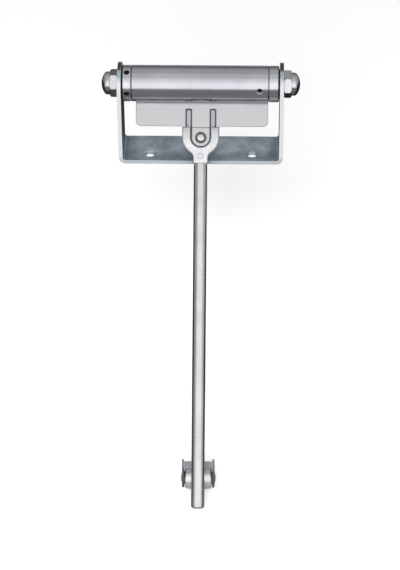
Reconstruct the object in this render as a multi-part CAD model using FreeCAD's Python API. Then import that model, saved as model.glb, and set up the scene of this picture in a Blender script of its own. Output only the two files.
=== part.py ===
import FreeCAD, Part
import math
import os

# Spring door closer, in millimetres.
# The mounting face lies in the XY plane with its centre at the origin, +Z points away from the door frame,
# X runs along the barrel and the arm comes out over the front edge, towards -Y.
# What swings is drawn about the barrel axis with the arm hanging straight down, then turned to rest.

# Bracket
BRACKET_LENGTH = 123.2
BRACKET_DEPTH = 35.0
BRACKET_SHEET = 3.0
BEND_RADIUS = 2.0
AXIS_HEIGHT = 60.0
CHEEK_RISE = 14.5
CHEEK_FLAT = 5.0
SCREW_HOLE_DIAMETER = 7.5
SCREW_HOLE_SPACING = 77.0
SCREW_HOLE_SETBACK = 8.0

# Spindle, cap nuts and washers
SPINDLE_DIAMETER = 12.0
NUT_FLATS = 18.0
NUT_HEX_HEIGHT = 5.7
NUT_DOME_HEIGHT = 6.4
NUT_CHAMFER = 0.9
NUT_CROWN_WALL = 3.0
NUT_CROWN_RADIUS = 13.0
NUT_SHOULDER = 2.4
LEFT_NUT_TURN = 34.0
RIGHT_NUT_TURN = 21.0
WASHER_THICKNESS = 0.5
WASHER_DIAMETER = 22.0

# Barrel
BARREL_DIAMETER = 27.0
BARREL_SHEET = 2.0
COLLAR_WIDTH = 7.0
SPIGOT_LENGTH = 11.0
PLUG_WIDTH = 7.8
TOMMY_HOLE_DIAMETER = 4.2
TOMMY_HOLE_DEPTH = 5.0
TOMMY_HOLE_COUNT = 5
TOMMY_HOLE_START = 31.0
COLLAR_EDGE = 0.7
SEAM_GAP = 0.4
DIMPLE_RADIUS = 3.2
DIMPLE_DEPTH = 0.9
DIMPLE_TURN = -29.0
DIMPLE_COUNT = 2
DIMPLE_INSET = 6.5
BUSH_WALL = 1.8
BUSH_LENGTH = 8.0

# Torsion spring
SPRING_WIRE = 4.0
SPRING_TURNS = 10
SPRING_RUNS_PER_TURN = 10
SPRING_LEG = 6.0
SPRING_END_GAP = 3.0

# Fin and tongue, measured down from the barrel axis
FIN_REACH = 31.0
FIN_CORNER = 3.5
FIN_INSET = 2.2
FIN_TAB_WIDTH = 27.5
FIN_TAB_DROP = 0.9
TONGUE_WIDTH = 13.4
TONGUE_STEP = 1.2
SLOT_WIDTH = 4.7
SLOT_TOP = 18.0
SLOT_CORNER = 0.8
CLAMP_REACH = 39.3

# Arm head
HEAD_WIDTH = 27.5
HEAD_THICKNESS = 7.0
HEAD_TOP = 16.0
HEAD_CORNER = 3.0
HEAD_EDGE = 1.2
POCKET_GAP = 1.2
RIB_SINK = 0.8
RIB_GAP = 0.8
NECK_WIDTH = 10.8
NECK_TAIL = 0.4
NECK_FILLET = 5.0
LOCK_PIN_DIAMETER = 4.0
LOCK_PIN_SETBACK = 6.0
SPIGOT_DIAMETER = 7.0
NECK_CROWN_WALL = 2.8

# Clamp bolt, washer and nut
CLAMP_DIAMETER = 4.0
CLAMP_HEAD_DIAMETER = 6.0
CLAMP_HEAD_HEIGHT = 1.0
CLAMP_HEAD_CROWN = 0.7
CLAMP_SEAT_DIAMETER = 8.4
CLAMP_SEAT_DEPTH = 1.3
CLAMP_NUT_FLATS = 7.0
CLAMP_NUT_HEIGHT = 3.2
CLAMP_WASHER_DIAMETER = 9.0
CLAMP_WASHER_THICKNESS = 0.8
CLAMP_BOLT_TAIL = 1.0

# Arm rod
ROD_DIAMETER = 10.0
ROD_END = 317.0
ROD_CHAMFER = 1.0

# Roller end
YOKE_SHEET = 1.5
YOKE_WIDTH = 24.4
YOKE_RISE = 15.3
YOKE_WEB = 5.4
EAR_RISE = 2.0
YOKE_BEND = 1.2
EAR_RADIUS = 7.4
AXLE_SETBACK = 21.1
AXLE_DIAMETER = 5.0
AXLE_HEAD_DIAMETER = 9.0
AXLE_HEAD_HEIGHT = 0.9
ROLLER_DIAMETER = 17.2
ROLLER_CROWN = 0.6
ROLLER_EDGE = 0.8
ROLLER_BUSH_WALL = 1.0
AXLE_WASHER_THICKNESS = 0.4
AXLE_WASHER_DIAMETER = 10.0
YOKE_SCREW_DIAMETER = 3.0
YOKE_SCREW_HEAD_DIAMETER = 5.0
YOKE_SCREW_HEAD_HEIGHT = 1.8
YOKE_SCREW_DEPTH = 5.5

# Clearances
FIT = 0.05
PLAY = 0.1
HOLE_PLAY = 0.2
REST_GAP = 0.5
ROLLER_GAP = 0.6

# Drawing aids: how far a cut runs past the face it opens, and the distance below which two places are one
OVERCUT = 1.0
SAME_PLACE = 1e-6
FULL_TURN = 360.0

# Places that follow from the sizes above
X = FreeCAD.Vector(1, 0, 0)
Y = FreeCAD.Vector(0, 1, 0)
Z = FreeCAD.Vector(0, 0, 1)
CHEEK_INSIDE = BRACKET_LENGTH / 2 - BRACKET_SHEET
CHEEK_OUTSIDE = BRACKET_LENGTH / 2
SPINDLE_RADIUS = SPINDLE_DIAMETER / 2
BARREL_RADIUS = BARREL_DIAMETER / 2
BARREL_BORE = BARREL_RADIUS - BARREL_SHEET
COLLAR_START = -CHEEK_INSIDE + WASHER_THICKNESS
SHELL_START = COLLAR_START + COLLAR_WIDTH + HOLE_PLAY
PLUG_END = CHEEK_INSIDE - WASHER_THICKNESS - PLAY
SHELL_END = PLUG_END - PLUG_WIDTH
NUT_HEIGHT = NUT_HEX_HEIGHT + NUT_DOME_HEIGHT
SPINDLE_END = CHEEK_OUTSIDE + NUT_HEIGHT - NUT_CROWN_WALL - PLAY
SPRING_RADIUS = (BARREL_BORE + SPINDLE_RADIUS) / 2
FIN_START = SHELL_START + FIN_INSET
FIN_FRONT = BARREL_BORE
FIN_BACK = BARREL_RADIUS
TAB_REACH = FIN_REACH + FIN_TAB_DROP
TONGUE_FRONT = FIN_FRONT + TONGUE_STEP
TONGUE_BACK = FIN_BACK + TONGUE_STEP
TONGUE_TOP = TAB_REACH - BARREL_SHEET
HEAD_BACK = FIN_FRONT + HEAD_THICKNESS
HEAD_TOP_EDGE = TAB_REACH + HOLE_PLAY
CLAMP_SEAT = TONGUE_FRONT + CLAMP_SEAT_DEPTH
NECK_TOP = CLAMP_REACH + TONGUE_WIDTH / 2 + POCKET_GAP + HOLE_PLAY
NECK_END = NECK_TOP + NECK_WIDTH + NECK_TAIL
LOCK_PIN_REACH = NECK_TOP + LOCK_PIN_SETBACK
SPIGOT_REACH = NECK_TOP + NECK_CROWN_WALL
ROD_CENTRE = HEAD_BACK - NECK_WIDTH / 2
HEAD_FRONT = ROD_CENTRE - NECK_WIDTH / 2
ROD_BACK = ROD_CENTRE + ROD_DIAMETER / 2
YOKE_BACK = ROD_BACK + YOKE_SHEET
AXLE_REACH = ROD_END - AXLE_SETBACK
YOKE_TOP = AXLE_REACH - YOKE_RISE
WEB_TOP = YOKE_TOP + EAR_RISE
WEB_END = WEB_TOP + YOKE_WEB
YOKE_SCREW_PLACE = -(WEB_TOP + YOKE_WEB / 2)
AXLE_CENTRE = YOKE_BACK + ROLLER_GAP + ROLLER_DIAMETER / 2
EAR_INSIDE = YOKE_WIDTH / 2 - YOKE_SHEET
ROLLER_HALF = EAR_INSIDE - AXLE_WASHER_THICKNESS - 2 * PLAY

# At rest the back of the arm head stands REST_GAP in front of the bracket's front edge.
EDGE_HEIGHT = AXIS_HEIGHT - BRACKET_SHEET
EDGE_RADIUS = math.hypot(BRACKET_DEPTH / 2, EDGE_HEIGHT)
EDGE_ANGLE = math.degrees(math.atan2(BRACKET_DEPTH / 2, EDGE_HEIGHT))
REST_ANGLE = EDGE_ANGLE + math.degrees(math.asin((HEAD_BACK + REST_GAP) / EDGE_RADIUS))


def rod_x(radius, start, end, y=0.0, z=0.0):
    """Cylinder along X."""
    return Part.makeCylinder(radius, end - start, FreeCAD.Vector(start, y, z), X)


def rod_y(radius, start, end, x=0.0, z=0.0):
    """Cylinder along Y."""
    return Part.makeCylinder(radius, end - start, FreeCAD.Vector(x, start, z), Y)


def rod_z(radius, start, end, x=0.0, y=0.0):
    """Cylinder along Z, from its lower to its upper end."""
    return Part.makeCylinder(radius, end - start, FreeCAD.Vector(x, y, start), Z)


def ring_x(outer, inner, start, end, y=0.0, z=0.0):
    """Washer or bush about an axis along X."""
    return rod_x(outer, start, end, y, z).cut(rod_x(inner, start - OVERCUT, end + OVERCUT, y, z))


def corner_arc(before, corner, after, radius):
    """Arc that rounds one corner of an outline, with the points where it starts and ends."""
    towards = (before - corner).normalize()
    away = (after - corner).normalize()
    half = towards.getAngle(away) / 2
    middle = (towards + away).normalize()
    start = corner + towards * (radius / math.tan(half))
    end = corner + away * (radius / math.tan(half))
    top = corner + middle * (radius / math.sin(half) - radius)
    return start, end, Part.Arc(start, top, end).toShape()


def outline_face(corners):
    """Flat face from (point, rounding radius) corners."""
    edges = []
    points = [point for point, radius in corners]
    ends = []
    for index, (point, radius) in enumerate(corners):
        before = points[index - 1]
        after = points[(index + 1) % len(points)]
        if radius > 0:
            ends.append(corner_arc(before, point, after, radius))
        else:
            ends.append((point, point, None))
    for index, (start, end, arc) in enumerate(ends):
        if arc is not None:
            edges.append(arc)
        following = ends[(index + 1) % len(ends)][0]
        if end.distanceToPoint(following) > SAME_PLACE:
            edges.append(Part.LineSegment(end, following).toShape())
    return Part.Face(Part.Wire(edges))


def front_plate(corners, start, end):
    """Plate whose outline is drawn as (x, down, rounding), facing Y, from start to end along Y."""
    face = outline_face([(FreeCAD.Vector(x, start, -down), radius) for x, down, radius in corners])
    return face.extrude(Y * (end - start))


def mirrored_outline(right_side):
    """Closed outline from the (x, down, rounding) corners of its right side, top to bottom."""
    left_side = [(-x, down, radius) for x, down, radius in reversed(right_side)]
    return right_side + left_side


def revolve_x(points, y=0.0, z=0.0):
    """Solid of revolution from (along, radius) points, about an axis along X."""
    corners = [FreeCAD.Vector(along, y, z + radius) for along, radius in points]
    wire = Part.makePolygon(corners + corners[:1])
    return Part.Face(wire).revolve(FreeCAD.Vector(0, y, z), X, FULL_TURN)


def hex_prism(flats, height):
    """Hexagon bar along +X from the origin, with one flat towards -Y."""
    corner_radius = flats / math.sqrt(3)
    corners = []
    for index in range(6):
        angle = math.radians(60 * index + 30)
        corners.append(FreeCAD.Vector(0, -corner_radius * math.cos(angle), corner_radius * math.sin(angle)))
    return Part.Face(Part.makePolygon(corners + corners[:1])).extrude(X * height)


def at_barrel(shape):
    """Turns a piece drawn about the barrel axis to the rest angle and lifts it to its place."""
    placed = shape.copy()
    placed.rotate(FreeCAD.Vector(0, 0, 0), X, -REST_ANGLE)
    placed.translate(Z * AXIS_HEIGHT)
    return placed


def at_axis(shape):
    """Lifts a piece drawn about the barrel axis to its place, unturned."""
    placed = shape.copy()
    placed.translate(Z * AXIS_HEIGHT)
    return placed


def around_barrel(turn):
    """Direction out from the barrel axis, turned up from the side that faces forward."""
    angle = math.radians(turn)
    return FreeCAD.Vector(0, -math.cos(angle), math.sin(angle))


def mounting_bracket():
    """U of bent sheet with rounded cheek tops, spindle holes and screw holes."""
    top = AXIS_HEIGHT + CHEEK_RISE
    corner = (BRACKET_DEPTH - CHEEK_FLAT) / 2
    outer_bend = BEND_RADIUS + BRACKET_SHEET
    right_side = [
        (CHEEK_INSIDE, -BRACKET_SHEET, BEND_RADIUS),
        (CHEEK_INSIDE, -top, 0),
        (CHEEK_OUTSIDE, -top, 0),
        (CHEEK_OUTSIDE, 0, outer_bend),
    ]
    bracket = front_plate(mirrored_outline(right_side), -BRACKET_DEPTH / 2, BRACKET_DEPTH / 2)
    side = outline_face(
        [
            (FreeCAD.Vector(-CHEEK_OUTSIDE, -BRACKET_DEPTH / 2, 0), 0),
            (FreeCAD.Vector(-CHEEK_OUTSIDE, BRACKET_DEPTH / 2, 0), 0),
            (FreeCAD.Vector(-CHEEK_OUTSIDE, BRACKET_DEPTH / 2, top), corner),
            (FreeCAD.Vector(-CHEEK_OUTSIDE, -BRACKET_DEPTH / 2, top), corner),
        ]
    ).extrude(X * BRACKET_LENGTH)
    bracket = bracket.common(side)
    bracket = bracket.cut(rod_x(SPINDLE_RADIUS + PLAY, -BRACKET_LENGTH, BRACKET_LENGTH, 0, AXIS_HEIGHT))
    hole_radius = SCREW_HOLE_DIAMETER / 2
    for side_sign in (-1, 1):
        place = side_sign * SCREW_HOLE_SPACING / 2
        hole = rod_z(hole_radius, -OVERCUT, BRACKET_SHEET + OVERCUT, place, -SCREW_HOLE_SETBACK)
        bracket = bracket.cut(hole)
    return bracket.removeSplitter()


def spindle():
    """Plain spindle from inside one cap nut to inside the other."""
    bar = rod_x(SPINDLE_RADIUS, -SPINDLE_END, SPINDLE_END)
    ends = [edge for edge in bar.Edges if edge.Curve.TypeId == "Part::GeomCircle"]
    return at_axis(bar.makeChamfer(ROD_CHAMFER, ends))


def cap_nut(turn):
    """Domed hexagon nut that starts on the YZ plane and points along +X."""
    hexagon = hex_prism(NUT_FLATS, NUT_HEX_HEIGHT)
    corner_radius = NUT_FLATS / math.sqrt(3)
    trim = revolve_x(
        [
            (0, 0),
            (0, corner_radius - NUT_CHAMFER),
            (NUT_CHAMFER, corner_radius),
            (NUT_HEX_HEIGHT - NUT_CHAMFER, corner_radius),
            (NUT_HEX_HEIGHT, corner_radius - NUT_CHAMFER),
            (NUT_HEX_HEIGHT, 0),
        ]
    )
    dome_radius = NUT_FLATS / 2 - NUT_CHAMFER / 2
    ball = Part.makeSphere(NUT_CROWN_RADIUS, X * (NUT_HEIGHT - NUT_CROWN_RADIUS))
    dome = rod_x(dome_radius, 0, NUT_HEIGHT).common(ball)
    above_hex = [edge for edge in dome.Edges if edge.BoundBox.XMin > NUT_HEX_HEIGHT]
    shoulder = [edge for edge in above_hex if edge.BoundBox.YLength > dome_radius]
    dome = dome.makeFillet(NUT_SHOULDER, shoulder)
    nut = hexagon.common(trim).fuse(dome)
    nut = nut.cut(rod_x(SPINDLE_RADIUS + FIT, -OVERCUT, NUT_HEIGHT - NUT_CROWN_WALL))
    nut.rotate(FreeCAD.Vector(0, 0, 0), X, -turn)
    return nut.removeSplitter()


def right_cap_nut():
    """Cap nut against the right cheek."""
    nut = cap_nut(RIGHT_NUT_TURN)
    nut.translate(X * CHEEK_OUTSIDE)
    return at_axis(nut)


def left_cap_nut():
    """Cap nut against the left cheek."""
    nut = cap_nut(-LEFT_NUT_TURN)
    nut.rotate(FreeCAD.Vector(0, 0, 0), Z, 180)
    nut.rotate(FreeCAD.Vector(0, 0, 0), X, 180)
    nut.translate(X * -CHEEK_OUTSIDE)
    return at_axis(nut)


def collar_washer():
    """Thin washer between the left cheek and the tension collar."""
    inner = SPINDLE_RADIUS + PLAY
    return at_axis(ring_x(WASHER_DIAMETER / 2, inner, -CHEEK_INSIDE, COLLAR_START))


def thrust_washer():
    """Thin washer between the right cheek and the turning end plug."""
    inner = SPINDLE_RADIUS + PLAY
    return at_axis(ring_x(WASHER_DIAMETER / 2, inner, CHEEK_INSIDE - WASHER_THICKNESS, CHEEK_INSIDE))


def spring_leg_hole(start, end):
    """Hole along X that takes one leg of the spring."""
    return rod_x(SPRING_WIRE / 2 + PLAY, start, end, 0, SPRING_RADIUS)


def tension_collar():
    """Ring with tommy-bar holes, and a spigot that the tube turns on."""
    end = COLLAR_START + COLLAR_WIDTH
    tip = SHELL_START + SPIGOT_LENGTH
    collar = revolve_x(
        [
            (COLLAR_START, SPINDLE_RADIUS + FIT),
            (COLLAR_START, BARREL_RADIUS - COLLAR_EDGE),
            (COLLAR_START + COLLAR_EDGE, BARREL_RADIUS),
            (end - COLLAR_EDGE, BARREL_RADIUS),
            (end, BARREL_RADIUS - COLLAR_EDGE),
            (end, BARREL_BORE - FIT),
            (tip, BARREL_BORE - FIT),
            (tip, SPINDLE_RADIUS + FIT),
        ]
    )
    middle = COLLAR_START + COLLAR_WIDTH / 2
    for index in range(TOMMY_HOLE_COUNT):
        out = around_barrel(TOMMY_HOLE_START + FULL_TURN * index / TOMMY_HOLE_COUNT)
        floor = X * middle + out * (BARREL_RADIUS - TOMMY_HOLE_DEPTH)
        hole = Part.makeCylinder(TOMMY_HOLE_DIAMETER / 2, TOMMY_HOLE_DEPTH + OVERCUT, floor, out)
        collar = collar.cut(hole)
    collar = collar.cut(spring_leg_hole(tip - SPRING_LEG - PLAY, tip + OVERCUT))
    return at_barrel(collar)


def barrel_end_plug():
    """Ring that closes the right end of the tube and turns with it."""
    inner_end = SHELL_END - SPIGOT_LENGTH
    bush_start = PLUG_END - BUSH_LENGTH
    plug = revolve_x(
        [
            (inner_end, SPINDLE_RADIUS + HOLE_PLAY),
            (inner_end, BARREL_BORE - FIT),
            (SHELL_END, BARREL_BORE - FIT),
            (SHELL_END, BARREL_RADIUS - COLLAR_EDGE),
            (SHELL_END + COLLAR_EDGE, BARREL_RADIUS),
            (PLUG_END - COLLAR_EDGE, BARREL_RADIUS),
            (PLUG_END, BARREL_RADIUS - COLLAR_EDGE),
            (PLUG_END, SPINDLE_RADIUS + BUSH_WALL + FIT),
            (bush_start, SPINDLE_RADIUS + BUSH_WALL + FIT),
            (bush_start, SPINDLE_RADIUS + HOLE_PLAY),
        ]
    )
    plug = plug.cut(spring_leg_hole(inner_end - OVERCUT, inner_end + SPRING_LEG + PLAY))
    return at_barrel(plug)


def plug_bush():
    """Plain bearing between the end plug and the spindle."""
    inner = SPINDLE_RADIUS + FIT
    return at_barrel(ring_x(SPINDLE_RADIUS + BUSH_WALL, inner, PLUG_END - BUSH_LENGTH, PLUG_END))


def torsion_spring():
    """Torsion spring with a straight leg at each end, wound in short runs and laid along the barrel."""
    start = SHELL_START + SPIGOT_LENGTH + SPRING_END_GAP
    length = SHELL_END - SPIGOT_LENGTH - SPRING_END_GAP - start
    leg_length = SPRING_LEG + SPRING_END_GAP
    runs = SPRING_TURNS * SPRING_RUNS_PER_TURN
    points = [FreeCAD.Vector(SPRING_RADIUS, 0, -leg_length)]
    for index in range(runs + 1):
        angle = 2 * math.pi * index / SPRING_RUNS_PER_TURN
        out = FreeCAD.Vector(math.cos(angle), math.sin(angle), 0) * SPRING_RADIUS
        points.append(out + Z * (length * index / runs))
    points.append(FreeCAD.Vector(SPRING_RADIUS, 0, length + leg_length))
    section = Part.Wire(Part.makeCircle(SPRING_WIRE / 2, points[0], Z))
    mitred_corners = 1
    spring = Part.makePolygon(points).makePipeShell([section], True, False, mitred_corners)
    spring.rotate(FreeCAD.Vector(0, 0, 0), Y, 90)
    spring.rotate(FreeCAD.Vector(0, 0, 0), X, 180)
    spring.translate(X * start)
    return at_barrel(spring)


def fin_plate():
    """Flat fin with rounded lower corners and two slots that leave a tongue between them."""
    right_side = [
        (SHELL_END, 0, 0),
        (SHELL_END, FIN_REACH, FIN_CORNER),
        (FIN_TAB_WIDTH / 2 + FIN_TAB_DROP, FIN_REACH, 0),
        (FIN_TAB_WIDTH / 2, TAB_REACH, 0),
    ]
    left_side = [
        (-FIN_TAB_WIDTH / 2, TAB_REACH, 0),
        (-FIN_TAB_WIDTH / 2 - FIN_TAB_DROP, FIN_REACH, 0),
        (FIN_START, FIN_REACH, FIN_CORNER),
        (FIN_START, 0, 0),
    ]
    fin = front_plate(right_side + left_side, FIN_FRONT, FIN_BACK)
    slot_inner = TONGUE_WIDTH / 2
    slot_outer = slot_inner + SLOT_WIDTH
    for side_sign in (-1, 1):
        slot = [
            (side_sign * slot_inner, SLOT_TOP, SLOT_CORNER),
            (side_sign * slot_outer, SLOT_TOP, SLOT_CORNER),
            (side_sign * slot_outer, TAB_REACH + OVERCUT, 0),
            (side_sign * slot_inner, TAB_REACH + OVERCUT, 0),
        ]
        fin = fin.cut(front_plate(slot, FIN_FRONT - OVERCUT, FIN_BACK + OVERCUT))
    return fin


def tongue_plate():
    """Lower part of the tongue, set back by half a sheet thickness, with a counterbored round end."""
    half = TONGUE_WIDTH / 2
    before = TONGUE_FRONT - OVERCUT
    tongue = front_plate(
        mirrored_outline([(half, TONGUE_TOP, 0), (half, CLAMP_REACH, 0)]), TONGUE_FRONT, TONGUE_BACK
    )
    tongue = tongue.fuse(rod_y(half, TONGUE_FRONT, TONGUE_BACK, 0, -CLAMP_REACH))
    hole = rod_y(CLAMP_DIAMETER / 2 + HOLE_PLAY, before, TONGUE_BACK + OVERCUT, 0, -CLAMP_REACH)
    seat = rod_y(CLAMP_SEAT_DIAMETER / 2, before, CLAMP_SEAT, 0, -CLAMP_REACH)
    return tongue.cut(hole).cut(seat)


def barrel_shell():
    """Tube and fin rolled from one sheet, with an open seam and staked dimples."""
    tube = ring_x(BARREL_RADIUS, BARREL_BORE, SHELL_START, SHELL_END)
    seam = Part.makeBox(
        SHELL_END - SHELL_START + 2 * OVERCUT,
        SEAM_GAP,
        BARREL_RADIUS,
        FreeCAD.Vector(SHELL_START - OVERCUT, FIN_FRONT - SEAM_GAP, -BARREL_RADIUS),
    )
    shell = tube.cut(seam).fuse([fin_plate(), tongue_plate()])
    for index in range(DIMPLE_COUNT):
        out = around_barrel(DIMPLE_TURN + FULL_TURN * index / DIMPLE_COUNT)
        centre = X * (SHELL_END - DIMPLE_INSET) + out * (BARREL_RADIUS + DIMPLE_RADIUS - DIMPLE_DEPTH)
        shell = shell.cut(Part.makeSphere(DIMPLE_RADIUS, centre))
    return at_barrel(shell.removeSplitter())


def head_body():
    """Cast outline of the head below the fin: round about the clamp bolt, drawn in to a neck for the rod."""
    half = HEAD_WIDTH / 2
    neck = NECK_WIDTH / 2
    sides = front_plate(
        mirrored_outline([(half, HEAD_TOP_EDGE, 0), (half, CLAMP_REACH, 0)]), HEAD_FRONT, HEAD_BACK
    )
    lower_half = mirrored_outline([(half, CLAMP_REACH, 0), (half, NECK_END, 0)])
    below = front_plate(lower_half, HEAD_FRONT, HEAD_BACK)
    round_end = rod_y(half, HEAD_FRONT, HEAD_BACK, 0, -CLAMP_REACH).common(below)
    stem = front_plate(mirrored_outline([(neck, CLAMP_REACH, 0), (neck, NECK_END, 0)]), HEAD_FRONT, HEAD_BACK)
    body = sides.fuse([round_end, stem]).removeSplitter()
    corners = []
    for edge in body.Edges:
        box = edge.BoundBox
        on_stem = abs(abs(box.XMin) - neck) < SAME_PLACE and box.XLength < SAME_PLACE
        if on_stem and box.ZMin > -NECK_END + SAME_PLACE and box.YLength > HEAD_THICKNESS / 2:
            corners.append(edge)
    body = body.makeFillet(NECK_FILLET, corners)
    lip = [edge for edge in body.Edges if edge.BoundBox.YMax < HEAD_FRONT + SAME_PLACE]
    outer = [edge for edge in lip if -NECK_END < edge.BoundBox.ZMax and edge.BoundBox.ZMin < -CLAMP_REACH]
    return body.makeFillet(HEAD_EDGE, outer)


def head_pocket():
    """Round-bottomed pocket in the front of the head, open at the top, that takes the tongue."""
    half = TONGUE_WIDTH / 2 + POCKET_GAP
    floor = TONGUE_BACK + PLAY
    top = HEAD_TOP_EDGE - OVERCUT
    straight = front_plate(mirrored_outline([(half, top, 0), (half, CLAMP_REACH, 0)]), 0, floor)
    return straight.fuse(rod_y(half, 0, floor, 0, -CLAMP_REACH))


def lock_pin_hole():
    """Cross hole through the neck and the rod's spigot."""
    return rod_y(LOCK_PIN_DIAMETER / 2 + FIT, 0, HEAD_BACK + OVERCUT, 0, -LOCK_PIN_REACH)


def arm_head():
    """Head behind the fin: ribs in the slots, pocket for the tongue, and a bored neck for the rod."""
    half = HEAD_WIDTH / 2
    back_front = FIN_BACK + PLAY
    backing = front_plate(
        mirrored_outline([(half, HEAD_TOP, HEAD_CORNER), (half, HEAD_TOP_EDGE + HEAD_CORNER, 0)]),
        back_front,
        HEAD_BACK,
    )
    step_half = TONGUE_WIDTH / 2 + PLAY
    step = front_plate(
        mirrored_outline([(step_half, TONGUE_TOP - PLAY, 0), (step_half, CLAMP_REACH, 0)]),
        0,
        TONGUE_BACK + PLAY,
    )
    head = head_body().cut(head_pocket()).fuse(backing).cut(step)
    rib_inner = TONGUE_WIDTH / 2 + RIB_GAP
    rib_outer = TONGUE_WIDTH / 2 + SLOT_WIDTH - RIB_GAP
    for side_sign in (-1, 1):
        rib = [
            (side_sign * rib_inner, SLOT_TOP + RIB_GAP, SLOT_CORNER),
            (side_sign * rib_outer, SLOT_TOP + RIB_GAP, SLOT_CORNER),
            (side_sign * rib_outer, HEAD_TOP_EDGE, 0),
            (side_sign * rib_inner, HEAD_TOP_EDGE, 0),
        ]
        head = head.fuse(front_plate(rib, FIN_FRONT + RIB_SINK, HEAD_BACK))
    head = head.cut(rod_y(CLAMP_DIAMETER / 2 + PLAY, 0, HEAD_BACK + OVERCUT, 0, -CLAMP_REACH))
    bore_radius = SPIGOT_DIAMETER / 2 + FIT
    head = head.cut(rod_z(bore_radius, -NECK_END - OVERCUT, -SPIGOT_REACH + PLAY, 0, ROD_CENTRE))
    head = head.cut(lock_pin_hole())
    return at_barrel(head.removeSplitter())


def clamp_bolt():
    """Round-headed bolt, seated in the tongue's counterbore."""
    head_radius = CLAMP_HEAD_DIAMETER / 2
    rim = CLAMP_SEAT - CLAMP_HEAD_HEIGHT
    tip = rim - CLAMP_HEAD_CROWN
    ball_radius = (head_radius ** 2 + CLAMP_HEAD_CROWN ** 2) / (2 * CLAMP_HEAD_CROWN)
    ball = Part.makeSphere(ball_radius, FreeCAD.Vector(0, tip + ball_radius, -CLAMP_REACH))
    head = ball.common(rod_y(head_radius, tip, CLAMP_SEAT, 0, -CLAMP_REACH))
    tail = HEAD_BACK + CLAMP_WASHER_THICKNESS + CLAMP_NUT_HEIGHT + CLAMP_BOLT_TAIL
    shank = rod_y(CLAMP_DIAMETER / 2, CLAMP_SEAT, tail, 0, -CLAMP_REACH)
    return at_barrel(shank.fuse(head).removeSplitter())


def clamp_washer():
    """Washer behind the head."""
    back = HEAD_BACK + CLAMP_WASHER_THICKNESS
    disc = rod_y(CLAMP_WASHER_DIAMETER / 2, HEAD_BACK, back, 0, -CLAMP_REACH)
    hole = rod_y(CLAMP_DIAMETER / 2 + PLAY, HEAD_BACK - OVERCUT, back + OVERCUT, 0, -CLAMP_REACH)
    return at_barrel(disc.cut(hole))


def clamp_nut():
    """Hexagon nut behind the washer."""
    nut = hex_prism(CLAMP_NUT_FLATS, CLAMP_NUT_HEIGHT)
    nut.rotate(FreeCAD.Vector(0, 0, 0), Z, 90)
    seat = HEAD_BACK + CLAMP_WASHER_THICKNESS
    nut.translate(FreeCAD.Vector(0, seat, -CLAMP_REACH))
    bore_end = seat + CLAMP_NUT_HEIGHT + OVERCUT
    bore = rod_y(CLAMP_DIAMETER / 2 + FIT, seat - OVERCUT, bore_end, 0, -CLAMP_REACH)
    return at_barrel(nut.cut(bore))


def arm_rod():
    """Round rod with a turned spigot at the head end and a chamfered free end."""
    radius = ROD_DIAMETER / 2
    rod = rod_z(radius, -ROD_END, -NECK_END, 0, ROD_CENTRE)
    tip = [edge for edge in rod.Edges if edge.BoundBox.ZMax < -ROD_END + SAME_PLACE]
    rod = rod.makeChamfer(ROD_CHAMFER, tip)
    rod = rod.fuse(rod_z(SPIGOT_DIAMETER / 2, -NECK_END, -SPIGOT_REACH, 0, ROD_CENTRE))
    rod = rod.cut(lock_pin_hole())
    screw_floor = ROD_BACK - YOKE_SCREW_DEPTH - PLAY
    rod = rod.cut(rod_y(YOKE_SCREW_DIAMETER / 2 + FIT, screw_floor, ROD_BACK + OVERCUT, 0, YOKE_SCREW_PLACE))
    return at_barrel(rod.removeSplitter())


def rod_lock_pin():
    """Straight cross pin through the neck and the rod's spigot."""
    return at_barrel(rod_y(LOCK_PIN_DIAMETER / 2, HEAD_FRONT, HEAD_BACK - PLAY, 0, -LOCK_PIN_REACH))


def ear_outline(x):
    """Side outline of one yoke ear: straight tangents from the web to a round end about the axle."""
    centre = FreeCAD.Vector(x, AXLE_CENTRE, -AXLE_REACH)
    top = FreeCAD.Vector(x, ROD_BACK, -YOKE_TOP)
    bottom = FreeCAD.Vector(x, ROD_BACK, -WEB_END)
    touch = []
    for point, side_sign in ((top, 1), (bottom, -1)):
        away = point - centre
        lean = math.acos(EAR_RADIUS / away.Length)
        angle = math.atan2(away.z, away.y) - side_sign * lean
        touch.append(centre + FreeCAD.Vector(0, math.cos(angle), math.sin(angle)) * EAR_RADIUS)
    far = centre - ((touch[0] + touch[1]) / 2 - centre).normalize() * EAR_RADIUS
    edges = [
        Part.LineSegment(top, touch[0]).toShape(),
        Part.Arc(touch[0], far, touch[1]).toShape(),
        Part.LineSegment(touch[1], bottom).toShape(),
        Part.LineSegment(bottom, top).toShape(),
    ]
    return Part.Face(Part.Wire(edges))


def roller_yoke():
    """Yoke bent from sheet: a web across the back of the rod and two taller ears that carry the axle."""
    half = YOKE_WIDTH / 2
    web = front_plate(mirrored_outline([(half, WEB_TOP, 0), (half, WEB_END, 0)]), ROD_BACK, YOKE_BACK)
    ears = [ear_outline(x).extrude(X * YOKE_SHEET) for x in (-half, EAR_INSIDE)]
    yoke = web.fuse(ears).removeSplitter()
    bends = []
    for edge in yoke.Edges:
        box = edge.BoundBox
        on_corner = abs(abs(box.XMin) - half) < SAME_PLACE and box.XLength < SAME_PLACE
        if on_corner and box.YMax < ROD_BACK + SAME_PLACE and box.ZLength > YOKE_SHEET:
            bends.append(edge)
    yoke = yoke.makeFillet(YOKE_BEND, bends)
    axle_end = half + OVERCUT
    yoke = yoke.cut(rod_x(AXLE_DIAMETER / 2 + FIT, -axle_end, axle_end, AXLE_CENTRE, -AXLE_REACH))
    screw_radius = YOKE_SCREW_DIAMETER / 2 + PLAY
    yoke = yoke.cut(rod_y(screw_radius, ROD_BACK - OVERCUT, YOKE_BACK + OVERCUT, 0, YOKE_SCREW_PLACE))
    return at_barrel(yoke)


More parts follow.
